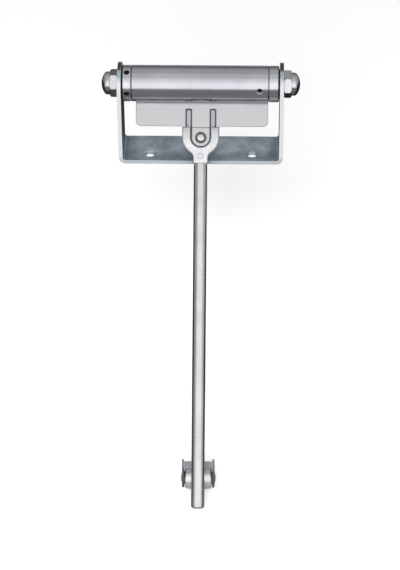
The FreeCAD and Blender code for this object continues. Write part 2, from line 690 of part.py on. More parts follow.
def yoke_screw():
    """Pan-head screw from behind, through the yoke into the rod."""
    end = YOKE_BACK + YOKE_SCREW_HEAD_HEIGHT
    shank = rod_y(YOKE_SCREW_DIAMETER / 2, ROD_BACK - YOKE_SCREW_DEPTH, YOKE_BACK, 0, YOKE_SCREW_PLACE)
    head = rod_y(YOKE_SCREW_HEAD_DIAMETER / 2, YOKE_BACK, end, 0, YOKE_SCREW_PLACE)
    rim = [edge for edge in head.Edges if edge.BoundBox.YMin > end - SAME_PLACE]
    head = head.makeFillet(YOKE_SCREW_HEAD_HEIGHT / 2, rim)
    return at_barrel(shank.fuse(head))


def roller_axle():
    """Pin across the yoke, riveted over into a low dome at each end."""
    half = YOKE_WIDTH / 2
    head_radius = AXLE_HEAD_DIAMETER / 2
    ball_radius = (head_radius ** 2 + AXLE_HEAD_HEIGHT ** 2) / (2 * AXLE_HEAD_HEIGHT)
    axle = rod_x(AXLE_DIAMETER / 2, -half, half, AXLE_CENTRE, -AXLE_REACH)
    for side_sign in (-1, 1):
        middle = side_sign * (half + AXLE_HEAD_HEIGHT - ball_radius)
        ball = Part.makeSphere(ball_radius, FreeCAD.Vector(middle, AXLE_CENTRE, -AXLE_REACH))
        ends = sorted((side_sign * half, side_sign * (half + AXLE_HEAD_HEIGHT)))
        axle = axle.fuse(ball.common(rod_x(head_radius, ends[0], ends[1], AXLE_CENTRE, -AXLE_REACH)))
    return at_barrel(axle.removeSplitter())


def axle_washers():
    """Thin washer between the roller and each ear."""
    inner = AXLE_DIAMETER / 2 + FIT
    start = EAR_INSIDE - AXLE_WASHER_THICKNESS
    washers = []
    for first, last in ((start, EAR_INSIDE), (-EAR_INSIDE, -start)):
        washers.append(ring_x(AXLE_WASHER_DIAMETER / 2, inner, first, last, AXLE_CENTRE, -AXLE_REACH))
    return at_barrel(Part.makeCompound(washers))


def door_roller():
    """Crowned roller: an arched tread, rounded rims and a bore for the bush."""
    rim_radius = ROLLER_DIAMETER / 2 - ROLLER_CROWN
    bore = AXLE_DIAMETER / 2 + FIT + ROLLER_BUSH_WALL + FIT
    side = ROLLER_HALF - ROLLER_EDGE

    def point(along, radius):
        return FreeCAD.Vector(along, AXLE_CENTRE, -AXLE_REACH + radius)

    corners = [point(ROLLER_HALF, bore), point(-ROLLER_HALF, bore)]
    low_rim = point(-ROLLER_HALF, rim_radius - ROLLER_EDGE)
    high_rim = point(ROLLER_HALF, rim_radius - ROLLER_EDGE)
    tread = Part.Arc(point(-side, rim_radius), point(0, ROLLER_DIAMETER / 2), point(side, rim_radius))
    profile = Part.Wire(
        [
            Part.LineSegment(corners[0], corners[1]).toShape(),
            Part.LineSegment(corners[1], low_rim).toShape(),
            Part.LineSegment(low_rim, point(-side, rim_radius)).toShape(),
            tread.toShape(),
            Part.LineSegment(point(side, rim_radius), high_rim).toShape(),
            Part.LineSegment(high_rim, corners[0]).toShape(),
        ]
    )
    roller = Part.Face(profile).revolve(FreeCAD.Vector(0, AXLE_CENTRE, -AXLE_REACH), X, FULL_TURN)
    return at_barrel(roller)


def roller_bush():
    """Plain bearing sleeve inside the roller."""
    inner = AXLE_DIAMETER / 2 + FIT
    outer = inner + ROLLER_BUSH_WALL
    return at_barrel(ring_x(outer, inner, -ROLLER_HALF, ROLLER_HALF, AXLE_CENTRE, -AXLE_REACH))


PIECES = (
    mounting_bracket,
    spindle,
    left_cap_nut,
    right_cap_nut,
    collar_washer,
    thrust_washer,
    tension_collar,
    torsion_spring,
    barrel_shell,
    barrel_end_plug,
    plug_bush,
    arm_head,
    clamp_bolt,
    clamp_washer,
    clamp_nut,
    arm_rod,
    rod_lock_pin,
    roller_yoke,
    yoke_screw,
    roller_axle,
    axle_washers,
    door_roller,
    roller_bush,
)


def main():
    """Builds every piece and writes each to its own file."""
    os.makedirs("parts", exist_ok=True)
    for make_piece in PIECES:
        shape = make_piece()
        solids = shape.Solids
        print(make_piece.__name__, shape.isValid(), len(solids), round(sum(s.Volume for s in solids), 1))
        shape.exportStep("parts/" + make_piece.__name__ + ".step")
    print("rest angle", round(REST_ANGLE, 3))


main()
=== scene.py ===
import logging
import math
from collections.abc import Callable
from dataclasses import dataclass, field
from enum import Enum
from typing import ClassVar

import bpy
from mathutils import Matrix, Vector


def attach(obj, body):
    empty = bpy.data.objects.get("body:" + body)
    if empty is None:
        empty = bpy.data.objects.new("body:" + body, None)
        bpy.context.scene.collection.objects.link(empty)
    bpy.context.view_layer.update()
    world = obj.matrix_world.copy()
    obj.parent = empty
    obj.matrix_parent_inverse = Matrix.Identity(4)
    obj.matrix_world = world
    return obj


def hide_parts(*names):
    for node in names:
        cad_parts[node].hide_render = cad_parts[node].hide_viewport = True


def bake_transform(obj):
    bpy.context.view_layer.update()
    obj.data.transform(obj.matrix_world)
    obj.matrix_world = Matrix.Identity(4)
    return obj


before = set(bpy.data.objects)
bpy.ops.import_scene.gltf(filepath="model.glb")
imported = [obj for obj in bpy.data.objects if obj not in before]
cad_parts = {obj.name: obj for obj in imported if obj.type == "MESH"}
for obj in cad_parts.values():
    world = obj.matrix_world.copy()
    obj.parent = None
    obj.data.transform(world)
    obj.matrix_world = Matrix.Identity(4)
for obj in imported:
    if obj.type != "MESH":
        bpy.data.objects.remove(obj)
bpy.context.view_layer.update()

log = logging.getLogger("door_closer")

MM = 0.001
# Places closer than this count as one, and vertices closer than this are merged, in metres
SAME_PLACE = 1e-5
MERGED = 1e-6
# A quarter turn, in radians
QUARTER = math.pi / 2
# How nearly a face has to look along an axis to count as looking that way
STRAIGHT = 0.99
# Length of a pattern's features along an axis that it ignores, in metres
FLATTEN = 1e6

Point = tuple[float, float, float]
Colour = tuple[float, float, float]
Span = tuple[float, float]
Edge = tuple[Vector, Vector]

# Lengths that leave coordinates in metres
METRES: Point = (1.0, 1.0, 1.0)
# Turns of a card, in degrees
LYING: Point = (0.0, 0.0, 0.0)
UPRIGHT: Point = (90.0, 0.0, 90.0)


def grey(level: float) -> tuple[float, float, float, float]:
    """Returns an opaque grey."""
    return (level, level, level, 1.0)


class Grain(Enum):
    """Which way the fine lines of a finish run."""

    ALONG_BARREL = "along_barrel"
    ROUND_BARREL = "round_barrel"
    ALONG_ARM = "along_arm"
    NONE = "none"


class Way(Enum):
    """How a boolean tool works on a piece."""

    CUT = "DIFFERENCE"
    KEEP = "INTERSECT"


@dataclass(frozen=True)
class ClosedPose:
    """Where the swinging pieces stand: drawn about the barrel axis, then turned to rest.

    Attributes:
        axis_height: Height of the barrel axis above the mounting face.
        rest_angle: Turn of the arm away from straight down, in degrees.
    """

    axis_height: float = 60.0 * MM
    rest_angle: float = 35.649

    def matrix(self) -> Matrix:
        """Returns the matrix from the arm's own axes to the row frame."""
        turn = Matrix.Rotation(-math.radians(self.rest_angle), 4, "X")
        return Matrix.Translation((0.0, 0.0, self.axis_height)) @ turn


ARM = ClosedPose()


class Bench:
    """Modelling by operators, one piece at a time."""

    @staticmethod
    def clear() -> None:
        """Leaves edit mode and deselects everything."""
        if bpy.context.object is not None and bpy.context.object.mode != "OBJECT":
            bpy.ops.object.mode_set(mode="OBJECT")
        bpy.ops.object.select_all(action="DESELECT")

    @staticmethod
    def take(piece: bpy.types.Object) -> None:
        """Makes one piece the only selected and active one.

        Args:
            piece: The piece.
        """
        Bench.clear()
        piece.select_set(True)
        bpy.context.view_layer.objects.active = piece

    @staticmethod
    def begin(
        name: str, primitive: Callable[..., set[str]], **settings: object
    ) -> bpy.types.Object:
        """Adds a primitive as the start of a piece.

        Args:
            name: Name of the piece.
            primitive: The operator that adds it.
            **settings: The operator's settings.

        Returns:
            The new object, selected alone.
        """
        Bench.clear()
        primitive(**settings)
        piece = bpy.context.object
        piece.name = name
        piece.data.name = name
        Bench.take(piece)
        return piece

    @staticmethod
    def freeze(piece: bpy.types.Object) -> None:
        """Moves a piece's place, turn and scale into its mesh."""
        Bench.take(piece)
        bpy.ops.object.transform_apply(location=True, rotation=True, scale=True)

    @staticmethod
    def pick(piece: bpy.types.Object, mode: str, wanted: Callable[[object], bool]) -> None:
        """Selects parts of a mesh by a test and enters edit mode.

        Args:
            piece: The piece to work on.
            mode: VERT, EDGE or FACE.
            wanted: Test on a vertex, on an edge's two end points, or on a face.
        """
        Bench.take(piece)
        bpy.ops.object.mode_set(mode="EDIT")
        bpy.ops.mesh.select_mode(type=mode)
        bpy.ops.mesh.select_all(action="DESELECT")
        bpy.ops.object.mode_set(mode="OBJECT")
        mesh = piece.data
        if mode == "EDGE":
            spots = [v.co.copy() for v in mesh.vertices]
            chosen = [e for e in mesh.edges if wanted(tuple(spots[v] for v in e.vertices))]
        elif mode == "FACE":
            chosen = [p for p in mesh.polygons if wanted(p)]
        else:
            chosen = [v for v in mesh.vertices if wanted(v)]
        for part in chosen:
            part.select = True
        bpy.ops.object.mode_set(mode="EDIT")

    @staticmethod
    def done(piece: bpy.types.Object) -> None:
        """Leaves edit mode with the piece selected."""
        bpy.ops.object.mode_set(mode="OBJECT")
        Bench.take(piece)

    @staticmethod
    def modify(piece: bpy.types.Object, kind: str, **settings: object) -> None:
        """Adds a modifier, sets it and applies it.

        Args:
            piece: The piece to change.
            kind: Type of the modifier.
            **settings: Its settings.
        """
        Bench.take(piece)
        modifier = piece.modifiers.new(kind.lower(), kind)
        for key, value in settings.items():
            setattr(modifier, key, value)
        bpy.ops.object.modifier_apply(modifier=modifier.name)

    @staticmethod
    def carve(piece: bpy.types.Object, tool: bpy.types.Object, way: Way = Way.CUT) -> None:
        """Works on a piece with a second solid and throws that solid away.

        Args:
            piece: The piece to change.
            tool: The solid that cuts it or that it is cut to.
            way: Whether the tool's space is cut away or kept.
        """
        Bench.modify(piece, "BOOLEAN", operation=way.value, solver="EXACT", object=tool)
        mesh = tool.data
        bpy.data.objects.remove(tool)
        bpy.data.meshes.remove(mesh)

    @staticmethod
    def break_edges(
        piece: bpy.types.Object, width: float, angle: float = 35.0, steps: int = 2
    ) -> None:
        """Rounds the sharp edges of a piece a little, as deburring does.

        Args:
            piece: The piece to finish.
            width: Width of the rounding in metres.
            angle: Sharpest angle that is left alone, in degrees.
            steps: Faces across the rounding.
        """
        Bench.modify(
            piece,
            "BEVEL",
            width=width,
            segments=steps,
            limit_method="ANGLE",
            angle_limit=math.radians(angle),
            harden_normals=False,
        )

    @staticmethod
    def finish(piece: bpy.types.Object, angle: float = 32.0) -> None:
        """Merges doubles, turns the faces outwards and smooths shallow angles.

        Args:
            piece: The piece to finish.
            angle: Sharpest angle that is smoothed, in degrees.
        """
        Bench.take(piece)
        bpy.ops.object.mode_set(mode="EDIT")
        bpy.ops.mesh.select_all(action="SELECT")
        bpy.ops.mesh.remove_doubles(threshold=MERGED)
        bpy.ops.mesh.normals_make_consistent(inside=False)
        Bench.done(piece)
        bpy.ops.object.shade_smooth_by_angle(angle=math.radians(angle))

    @staticmethod
    def bar(
        name: str, sides: int, radius: float, start: float, end: float, reach: float
    ) -> bpy.types.Object:
        """Starts a piece as a bar through the arm from front to back, in the arm's own axes.

        Args:
            name: Name of the piece.
            sides: Faces round the bar.
            radius: Radius of its corners.
            start: Where it starts, towards the viewer.
            end: Where it ends, towards the door.
            reach: How far it lies below the barrel axis.

        Returns:
            The bar.
        """
        piece = Bench.begin(
            name,
            bpy.ops.mesh.primitive_cylinder_add,
            vertices=sides,
            radius=radius,
            depth=end - start,
            location=(0.0, (start + end) / 2, -reach),
            rotation=(QUARTER, 0.0, 0.0),
        )
        Bench.freeze(piece)
        return piece

    @staticmethod
    def pick_end(piece: bpy.types.Object, way: int) -> None:
        """Selects the flat end of a bar: -1 for the front end, 1 for the back end."""
        Bench.pick(piece, "FACE", lambda face: face.normal.y * way > STRAIGHT)

    @staticmethod
    def pick_rims(piece: bpy.types.Object, *rims: float) -> None:
        """Selects the edges round a bar.

        Args:
            piece: The bar.
            *rims: Where the edges lie, from front to back.
        """

        def at_rim(ends: Edge) -> bool:
            """Tells whether an edge lies on one of the rims."""
            return any(all(abs(p.y - rim) < SAME_PLACE for p in ends) for rim in rims)

        Bench.pick(piece, "EDGE", at_rim)

    @staticmethod
    def to_arm(piece: bpy.types.Object) -> None:
        """Turns a piece drawn in the arm's own axes to its place at rest.

        Args:
            piece: The piece.
        """
        piece.matrix_world = ARM.matrix() @ piece.matrix_world
        bpy.context.view_layer.update()
        Bench.freeze(piece)


class NodeBench:
    """Builds one procedural material on Object coordinates.

    Attributes:
        FINE_SHARE: How strong the finer parts of a noise are.
        EDGE_RAYS: Rays that look for an edge.
        EDGE_LIKENESS: How like the rounded normal is to the flat one, on an edge and off it.
        CUT_FACING: How far a face looks forward or back where it starts to be cut, and is.
        GAP_RAYS: Rays that look for a gap.
        GAP_OPENNESS: How open a place is where the painted shade in gaps is full.
        MIX_INPUTS: Sockets of a mix node for its two colours.
        MIX_OUTPUT: Socket of a mix node for the mixed colour.
    """

    FINE_SHARE: float = 0.55
    EDGE_RAYS: int = 6
    EDGE_LIKENESS: Span = (0.80, 0.985)
    CUT_FACING: Span = (0.55, 0.85)
    GAP_RAYS: int = 8
    GAP_OPENNESS: float = 0.12
    MIX_INPUTS: tuple[int, int] = (6, 7)
    MIX_OUTPUT: int = 2

    def __init__(self, name: str) -> None:
        """Starts a material with one surface shader.

        Args:
            name: Name of the material.
        """
        self.material = bpy.data.materials.new(name)
        self.material.use_nodes = True
        self.tree = self.material.node_tree
        self.tree.nodes.clear()
        self.shader = self.add("ShaderNodeBsdfPrincipled")
        output = self.add("ShaderNodeOutputMaterial")
        self.link(self.shader.outputs["BSDF"], output.inputs["Surface"])
        self.places = self.add("ShaderNodeTexCoord").outputs["Object"]

    def add(self, kind: str, **settings: object) -> bpy.types.Node:
        """Adds a node and sets its properties.

        Args:
            kind: Type of the node.
            **settings: Properties of the node.

        Returns:
            The node.
        """
        node = self.tree.nodes.new(kind)
        for key, value in settings.items():
            setattr(node, key, value)
        return node

    def link(self, source: bpy.types.NodeSocket, target: bpy.types.NodeSocket) -> None:
        """Joins an output to an input."""
        self.tree.links.new(source, target)

    def stretched(self, lengths: Point, turned: bool) -> bpy.types.NodeSocket:
        """Gives coordinates in which a pattern's features have the given lengths.

        Args:
            lengths: Length of a feature along each axis, in metres.
            turned: Whether the axes are the arm's own.

        Returns:
            The coordinates.
        """
        mapping = self.add("ShaderNodeMapping", vector_type="TEXTURE")
        mapping.inputs["Location"].default_value = (0.0, 0.0, ARM.axis_height)
        if turned:
            turn = -math.radians(ARM.rest_angle)
            mapping.inputs["Rotation"].default_value = (turn, 0.0, 0.0)
        mapping.inputs["Scale"].default_value = lengths
        self.link(self.places, mapping.inputs["Vector"])
        return mapping.outputs["Vector"]

    def noise(self, lengths: Point, detail: float, turned: bool) -> bpy.types.NodeSocket:
        """Gives soft noise.

        Args:
            lengths: Length of a feature along each axis, in metres.
            detail: How many finer layers it has.
            turned: Whether the axes are the arm's own.

        Returns:
            The noise.
        """
        texture = self.add("ShaderNodeTexNoise")
        texture.inputs["Scale"].default_value = 1.0
        texture.inputs["Detail"].default_value = detail
        texture.inputs["Roughness"].default_value = self.FINE_SHARE
        self.link(self.stretched(lengths, turned), texture.inputs["Vector"])
        return texture.outputs["Fac"]

    def crystals(self, size: float, turned: bool) -> bpy.types.NodeSocket:
        """Gives one random grey for each crystal of a zinc coat.

        Args:
            size: Size of a crystal, in metres.
            turned: Whether the axes are the arm's own.

        Returns:
            The grey.
        """
        texture = self.add("ShaderNodeTexVoronoi", feature="F1")
        texture.inputs["Scale"].default_value = 1.0
        self.link(self.stretched((size, size, size), turned), texture.inputs["Vector"])
        split = self.add("ShaderNodeSeparateColor")
        self.link(texture.outputs["Color"], split.inputs["Color"])
        return split.outputs["Red"]

    def spread(
        self,
        source: bpy.types.NodeSocket,
        low: float,
        high: float,
        start: float = 0.3,
        end: float = 0.7,
    ) -> bpy.types.NodeSocket:
        """Maps a pattern's range to a new one.

        Args:
            source: The pattern.
            low: Value where the pattern is at start.
            high: Value where the pattern is at end.
            start: Lower end of the pattern's range.
            end: Upper end of the pattern's range.

        Returns:
            The mapped value.
        """
        node = self.add("ShaderNodeMapRange")
        node.inputs["From Min"].default_value = start
        node.inputs["From Max"].default_value = end
        node.inputs["To Min"].default_value = low
        node.inputs["To Max"].default_value = high
        self.link(source, node.inputs["Value"])
        return node.outputs["Result"]

    def join(
        self, operation: str, first: bpy.types.NodeSocket, second: bpy.types.NodeSocket
    ) -> bpy.types.NodeSocket:
        """Works on two patterns at once.

        Args:
            operation: ADD or MULTIPLY.
            first: The first pattern.
            second: The second pattern.

        Returns:
            The joined pattern.
        """
        node = self.add("ShaderNodeMath", operation=operation)
        self.link(first, node.inputs[0])
        self.link(second, node.inputs[1])
        return node.outputs["Value"]

    def part(self, source: bpy.types.NodeSocket, axis: str) -> bpy.types.NodeSocket:
        """Gives one part of a vector.

        Args:
            source: The vector.
            axis: X, Y or Z.

        Returns:
            The part along that axis.
        """
        split = self.add("ShaderNodeSeparateXYZ")
        self.link(source, split.inputs["Vector"])
        return split.outputs[axis]

    def mix(
        self,
        factor: bpy.types.NodeSocket,
        first: bpy.types.NodeSocket | Colour,
        second: bpy.types.NodeSocket | Colour,
    ) -> bpy.types.NodeSocket:
        """Mixes two colours by a pattern.

        Args:
            factor: 0 for the first colour, 1 for the second.
            first: A colour or the output of a node.
            second: A colour or the output of a node.

        Returns:
            The mixed colour.
        """
        node = self.add("ShaderNodeMix", data_type="RGBA", clamp_factor=True)
        self.link(factor, node.inputs[0])
        for place, colour in zip(self.MIX_INPUTS, (first, second)):
            if isinstance(colour, tuple):
                node.inputs[place].default_value = (*colour, 1.0)
            else:
                self.link(colour, node.inputs[place])
        return node.outputs[self.MIX_OUTPUT]

    def edges(self, radius: float) -> tuple[bpy.types.NodeSocket, bpy.types.NodeSocket]:
        """Finds the outer and inner edges of a piece.

        Args:
            radius: How far an edge reaches, in metres.

        Returns:
            The normal rounded over the edges, and a value that is 1 on an edge.
        """
        bevel = self.add("ShaderNodeBevel", samples=self.EDGE_RAYS)
        bevel.inputs["Radius"].default_value = radius
        flat = self.add("ShaderNodeNewGeometry")
        likeness = self.add("ShaderNodeVectorMath", operation="DOT_PRODUCT")
        self.link(bevel.outputs["Normal"], likeness.inputs[0])
        self.link(flat.outputs["Normal"], likeness.inputs[1])
        edge_mask = self.spread(likeness.outputs["Value"], 1.0, 0.0, *self.EDGE_LIKENESS)
        return bevel.outputs["Normal"], edge_mask

    def facing(self, axis: str) -> bpy.types.NodeSocket:
        """Gives how far a face looks along an axis, from -1 to 1."""
        return self.part(self.add("ShaderNodeTexCoord").outputs["Normal"], axis)

    def cut_edges(self) -> bpy.types.NodeSocket:
        """Finds the edges of the bracket's sheet.

        Returns:
            A value that is 1 on faces that look forward or back, where the shears cut.
        """
        size = self.add("ShaderNodeMath", operation="ABSOLUTE")
        self.link(self.facing("Y"), size.inputs[0])
        return self.spread(size.outputs["Value"], 0.0, 1.0, *self.CUT_FACING)

    def outward(self, axis: str) -> bpy.types.NodeSocket:
        """Gives how far out a face lies in metres, negative where it looks inwards."""
        return self.join("MULTIPLY", self.part(self.places, axis), self.facing(axis))

    def near(
        self, places: bpy.types.NodeSocket, middle: Point, radius: float, fade: float
    ) -> bpy.types.NodeSocket:
        """Gives 1 near a point and 0 away from it.

        Args:
            places: The coordinates.
            middle: The point.
            radius: How far the full value reaches, in metres.
            fade: Over what distance it ends, in metres.

        Returns:
            The value.
        """
        away = self.add("ShaderNodeVectorMath", operation="DISTANCE")
        self.link(places, away.inputs[0])
        away.inputs[1].default_value = middle
        return self.spread(away.outputs["Value"], 1.0, 0.0, radius, radius + fade)

    def shaded_gaps(self, reach: float, clear: float) -> bpy.types.NodeSocket:
        """Gives 1 in narrow gaps, inner corners and near other parts, where shade falls, as the
        mask of painted shade.

        Args:
            reach: How near a neighbouring face has to be, in metres.
            clear: How open a place has to be to stay free of painted shade, from 0 to 1.

        Returns:
            The value.
        """
        node = self.add("ShaderNodeAmbientOcclusion", samples=self.GAP_RAYS)
        node.inputs["Distance"].default_value = reach
        return self.spread(node.outputs["AO"], 1.0, 0.0, self.GAP_OPENNESS, clear)

    def bump(
        self, height: bpy.types.NodeSocket, depth: float, normal: bpy.types.NodeSocket
    ) -> bpy.types.NodeSocket:
        """Turns a pattern into relief.

        Args:
            height: The pattern.
            depth: Depth of the relief in metres.
            normal: The normal below it.

        Returns:
            The new normal.
        """
        node = self.add("ShaderNodeBump")
        node.inputs["Strength"].default_value = 1.0
        node.inputs["Distance"].default_value = depth
        self.link(height, node.inputs["Height"])
        self.link(normal, node.inputs["Normal"])
        return node.outputs["Normal"]


@dataclass(frozen=True)
class MetalFinish:
    """A metal surface with fine lines, soft smudges, edges rubbed bright or darkened as painted
    shade, and painted shade in gaps.

    Attributes:
        LINE_DETAIL: How many finer layers the fine lines have.
        SMUDGE_DETAIL: How many finer layers the smudges have.
        slot: The record's slot that the finish stands for.
        colour: Colour of the clean metal.
        shade: Colour of its duller patches.
        edge: Colour of the edges: rubbed bright as wear, or dark as painted shade over their
            rounding.
        roughness: Roughness of the clean metal.
        dullness: What duller patches add to the roughness.
        grain: Which way the fine lines run.
        line_length: Length of a fine line, in metres.
        line_width: Width of a fine line, in metres.
        line_depth: Depth of the lines' relief, in metres.
        patch: Size of the smudges, in metres.
        edge_radius: Rounding of the edges, in metres.
        metal: How metallic the surface looks; what is left looks like a dull coat.
        gap_shade: Colour of the painted shade in gaps, inner corners and near other parts.
        gap_shade_reach: How near another face has to be to bring painted shade, in metres.
        gap_shade_clear: How open a place has to be to stay free of painted shade, from 0 to 1.
        turned: Whether the piece lies along the arm.
    """

    LINE_DETAIL: ClassVar[float] = 3.0
    SMUDGE_DETAIL: ClassVar[float] = 4.0

    slot: str
    colour: Colour
    shade: Colour
    edge: Colour
    roughness: float
    dullness: float
    grain: Grain = Grain.NONE
    line_length: float = 30.0 * MM
    line_width: float = 0.22 * MM
    line_depth: float = 0.004 * MM
    patch: float = 9.0 * MM
    edge_radius: float = 0.35 * MM
    metal: float = 1.0
    gap_shade: Colour = (0.07, 0.07, 0.08)
    gap_shade_reach: float = 1.5 * MM
    gap_shade_clear: float = 0.66
    turned: bool = False

    def line_lengths(self) -> Point:
        """Sizes the fine lines.

        Returns:
            Their length along each axis, in metres.
        """
        long, thin = self.line_length, self.line_width
        if self.grain is Grain.ALONG_BARREL:
            return (long, thin, thin)
        if self.grain is Grain.ROUND_BARREL:
            return (thin, long, long)
        if self.grain is Grain.ALONG_ARM:
            return (thin, thin, long)
        speck = 2.0 * thin
        return (speck, speck, speck)

    def pattern(self, bench: NodeBench, smudge: bpy.types.NodeSocket) -> bpy.types.NodeSocket:
        """Gives the colour before the edge colour and the painted shade in gaps are laid on."""
        return bench.mix(bench.spread(smudge, 0.0, 1.0), self.colour, self.shade)

    def metallic(self, bench: NodeBench) -> None:
        """Sets how metallic the surface looks."""
        bench.shader.inputs["Metallic"].default_value = self.metal

    def material(self) -> bpy.types.Material:
        """Builds the material.

        Returns:
            The material, named for its slot.
        """
        bench = NodeBench(self.slot + "_finish")
        lines = bench.noise(self.line_lengths(), self.LINE_DETAIL, self.turned)
        size = (self.patch, self.patch, self.patch)
        smudge = bench.noise(size, self.SMUDGE_DETAIL, self.turned)
        normal, edge_mask = bench.edges(self.edge_radius)
        # Edge colour: bright edges show wear, dark edges are painted shade over their rounding.
        colour = bench.mix(edge_mask, self.pattern(bench, smudge), self.edge)
        # Painted shade: darker where ambient occlusion finds gaps, inner corners or other parts
        # close by.
        colour = bench.mix(bench.shaded_gaps(self.gap_shade_reach, self.gap_shade_clear), colour, self.gap_shade)
        bench.link(colour, bench.shader.inputs["Base Color"])
        half = self.dullness / 2
        rough = bench.join(
            "ADD",
            bench.spread(smudge, self.roughness, self.roughness + half),
            bench.spread(lines, 0.0, half),
        )
        bench.link(rough, bench.shader.inputs["Roughness"])
        bench.link(bench.bump(lines, self.line_depth, normal), bench.shader.inputs["Normal"])
        self.metallic(bench)
        return bench.material


@dataclass(frozen=True)
class ZincFinish(MetalFinish):
    """Passivated zinc on sheet: cloudy crystals with a cold blue cast.

    Attributes:
        crystal: Size of a crystal, in metres.
        cast: Colour of the bluest crystals.
        sparkle: How strongly the bluest crystals show.
    """

    crystal: float = 3.2 * MM
    cast: Colour = (0.36, 0.43, 0.50)
    sparkle: float = 0.45

    def pattern(self, bench: NodeBench, smudge: bpy.types.NodeSocket) -> bpy.types.NodeSocket:
        """Gives crystals under the smudges.

        Args:
            bench: The material in the making.
            smudge: The noise of the smudges.

        Returns:
            The colour.
        """
        cloudy = super().pattern(bench, smudge)
        crystals = bench.crystals(self.crystal, self.turned)
        return bench.mix(bench.spread(crystals, 0.0, self.sparkle, 0.0, 1.0), cloudy, self.cast)


@dataclass(frozen=True)
class ShearedFinish(ZincFinish):
    """Zinc on sheet whose sheared edges are dull and pale, with painted shade inside the cheeks and
    on their tops.

    Attributes:
        cut: Colour of the sheared edges.
        lip: Colour of the base's sheared edges, which are darker.
        lip_top: Where the base ends, in metres up from the mounting face.
        cut_metal: How metallic the sheared edges look.
        inside: Colour of the painted shade on the inner faces of the cheeks.
        inside_span: How far out such a face lies at least, and where its colour is full, in metres.
        crown: Colour of the painted shade on top of the cheeks.
        crown_span: How high the painted shade starts, and where it is full, in metres.
    """

    cut: Colour = (0.50, 0.51, 0.52)
    lip: Colour = (0.335, 0.36, 0.38)
    lip_top: float = 3.4 * MM
    cut_metal: float = 0.1
    inside: Colour = (0.30, 0.34, 0.38)
    inside_span: Span = (45.0 * MM, 55.0 * MM)
    crown: Colour = (0.12, 0.12, 0.13)
    crown_span: Span = (71.5 * MM, 74.0 * MM)

    def inner_faces(self, bench: NodeBench, low: float, high: float) -> bpy.types.NodeSocket:
        """Gives one value outside and another on the inner faces of the cheeks."""
        start, end = self.inside_span
        return bench.spread(bench.outward("X"), low, high, -start, -end)

    def pattern(self, bench: NodeBench, smudge: bpy.types.NodeSocket) -> bpy.types.NodeSocket:
        """Gives the zinc on the sheet's faces, the pale cut on its edges and the painted shade on
        the cheeks.

        Args:
            bench: The material in the making.
            smudge: The noise of the smudges.

        Returns:
            The colour.
        """
        height = bench.part(bench.places, "Z")
        above = bench.spread(height, 0.0, 1.0, self.lip_top, 2 * self.lip_top)
        cut = bench.mix(above, self.lip, self.cut)
        # Painted shade on the inner faces of the cheeks.
        inner = self.inner_faces(bench, 0.0, 1.0)
        zinc = bench.mix(inner, super().pattern(bench, smudge), self.inside)
        sheet = bench.mix(bench.cut_edges(), zinc, cut)
        # Painted shade on top of the cheeks.
        shade_band = bench.spread(bench.outward("Z"), 0.0, 1.0, *self.crown_span)
        return bench.mix(shade_band, sheet, self.crown)

    def metallic(self, bench: NodeBench) -> None:
        """Makes the sheared edges less metallic than the faces, and the inner faces more, which
        darkens them as painted shade.

        Args:
            bench: The material in the making.
        """
        level = bench.spread(bench.cut_edges(), self.metal, self.cut_metal, 0.0, 1.0)
        # Painted shade: the inner faces turn fully metallic, which darkens them further.
        level = bench.join("ADD", level, self.inner_faces(bench, 0.0, 1.0 - self.metal))
        bench.link(level, bench.shader.inputs["Metallic"])


@dataclass(frozen=True)
class RolledFinish(MetalFinish):
    """Bright plate on the rolled barrel, duller on the flat fin below the tube.

    Attributes:
        tube_radius: Outer radius of the tube, in metres.
        fin: Colour of the fin.
        fin_start: Where the fin's colour starts below the barrel axis, in metres; above it the
            tube's colour runs on over the fin's top as a painted highlight.
        fin_fade: Over what height the tube's colour fades to the fin's, in metres.
        under: Colour of the painted shade along the underside of the tube.
        under_reach: How far the painted shade reaches from the lowest line of the tube, in metres.
        under_fade: Over what distance it ends, in metres.
        recess_shade: Colour of the painted shade in the recesses.
        recess_shade_fade: Over what distance the painted shade in a recess ends, in metres.
        shaded_recesses: Middle and radius of each recess with painted shade: the bolt's seat and
            the two staked dimples.
    """

    tube_radius: float = 13.5 * MM
    fin: Colour = (0.73, 0.73, 0.755)
    fin_start: float = 15.0 * MM
    fin_fade: float = 2.5 * MM
    under: Colour = (0.22, 0.22, 0.24)
    under_reach: float = 4.6 * MM
    under_fade: float = 1.8 * MM
    recess_shade: Colour = (0.06, 0.06, 0.065)
    recess_shade_fade: float = 0.3 * MM
    shaded_recesses: tuple[tuple[Point, float], ...] = (
        ((0.0, 13.35 * MM, -39.3 * MM), 3.7 * MM),
        ((43.7 * MM, -11.6 * MM, -6.4 * MM), 1.6 * MM),
        ((43.7 * MM, 11.6 * MM, 6.4 * MM), 1.6 * MM),
    )

    def pattern(self, bench: NodeBench, smudge: bpy.types.NodeSocket) -> bpy.types.NodeSocket:
        """Gives the tube's plate above, the fin's below, and painted shade along the underside and
        in the recesses.

        Args:
            bench: The material in the making.
            smudge: The noise of the smudges.

        Returns:
            The colour.
        """
        bright = super().pattern(bench, smudge)
        places = bench.stretched(METRES, self.turned)
        # Painted highlight: the fin's top keeps the tube's brighter colour down to fin_start.
        start, end = -self.fin_start, -self.fin_start - self.fin_fade
        below = bench.spread(bench.part(places, "Z"), 0.0, 1.0, start, end)
        plate = bench.mix(below, bright, self.fin)
        line = bench.stretched((FLATTEN, 1.0, 1.0), self.turned)
        # Painted shade along the underside of the tube.
        shade_band = bench.near(line, (0.0, 0.0, -self.tube_radius), self.under_reach, self.under_fade)
        plate = bench.mix(shade_band, plate, self.under)
        # Painted shade in the bolt's seat and in the staked dimples.
        for middle, radius in self.shaded_recesses:
            plate = bench.mix(bench.near(places, middle, radius, self.recess_shade_fade), plate, self.recess_shade)
        return plate


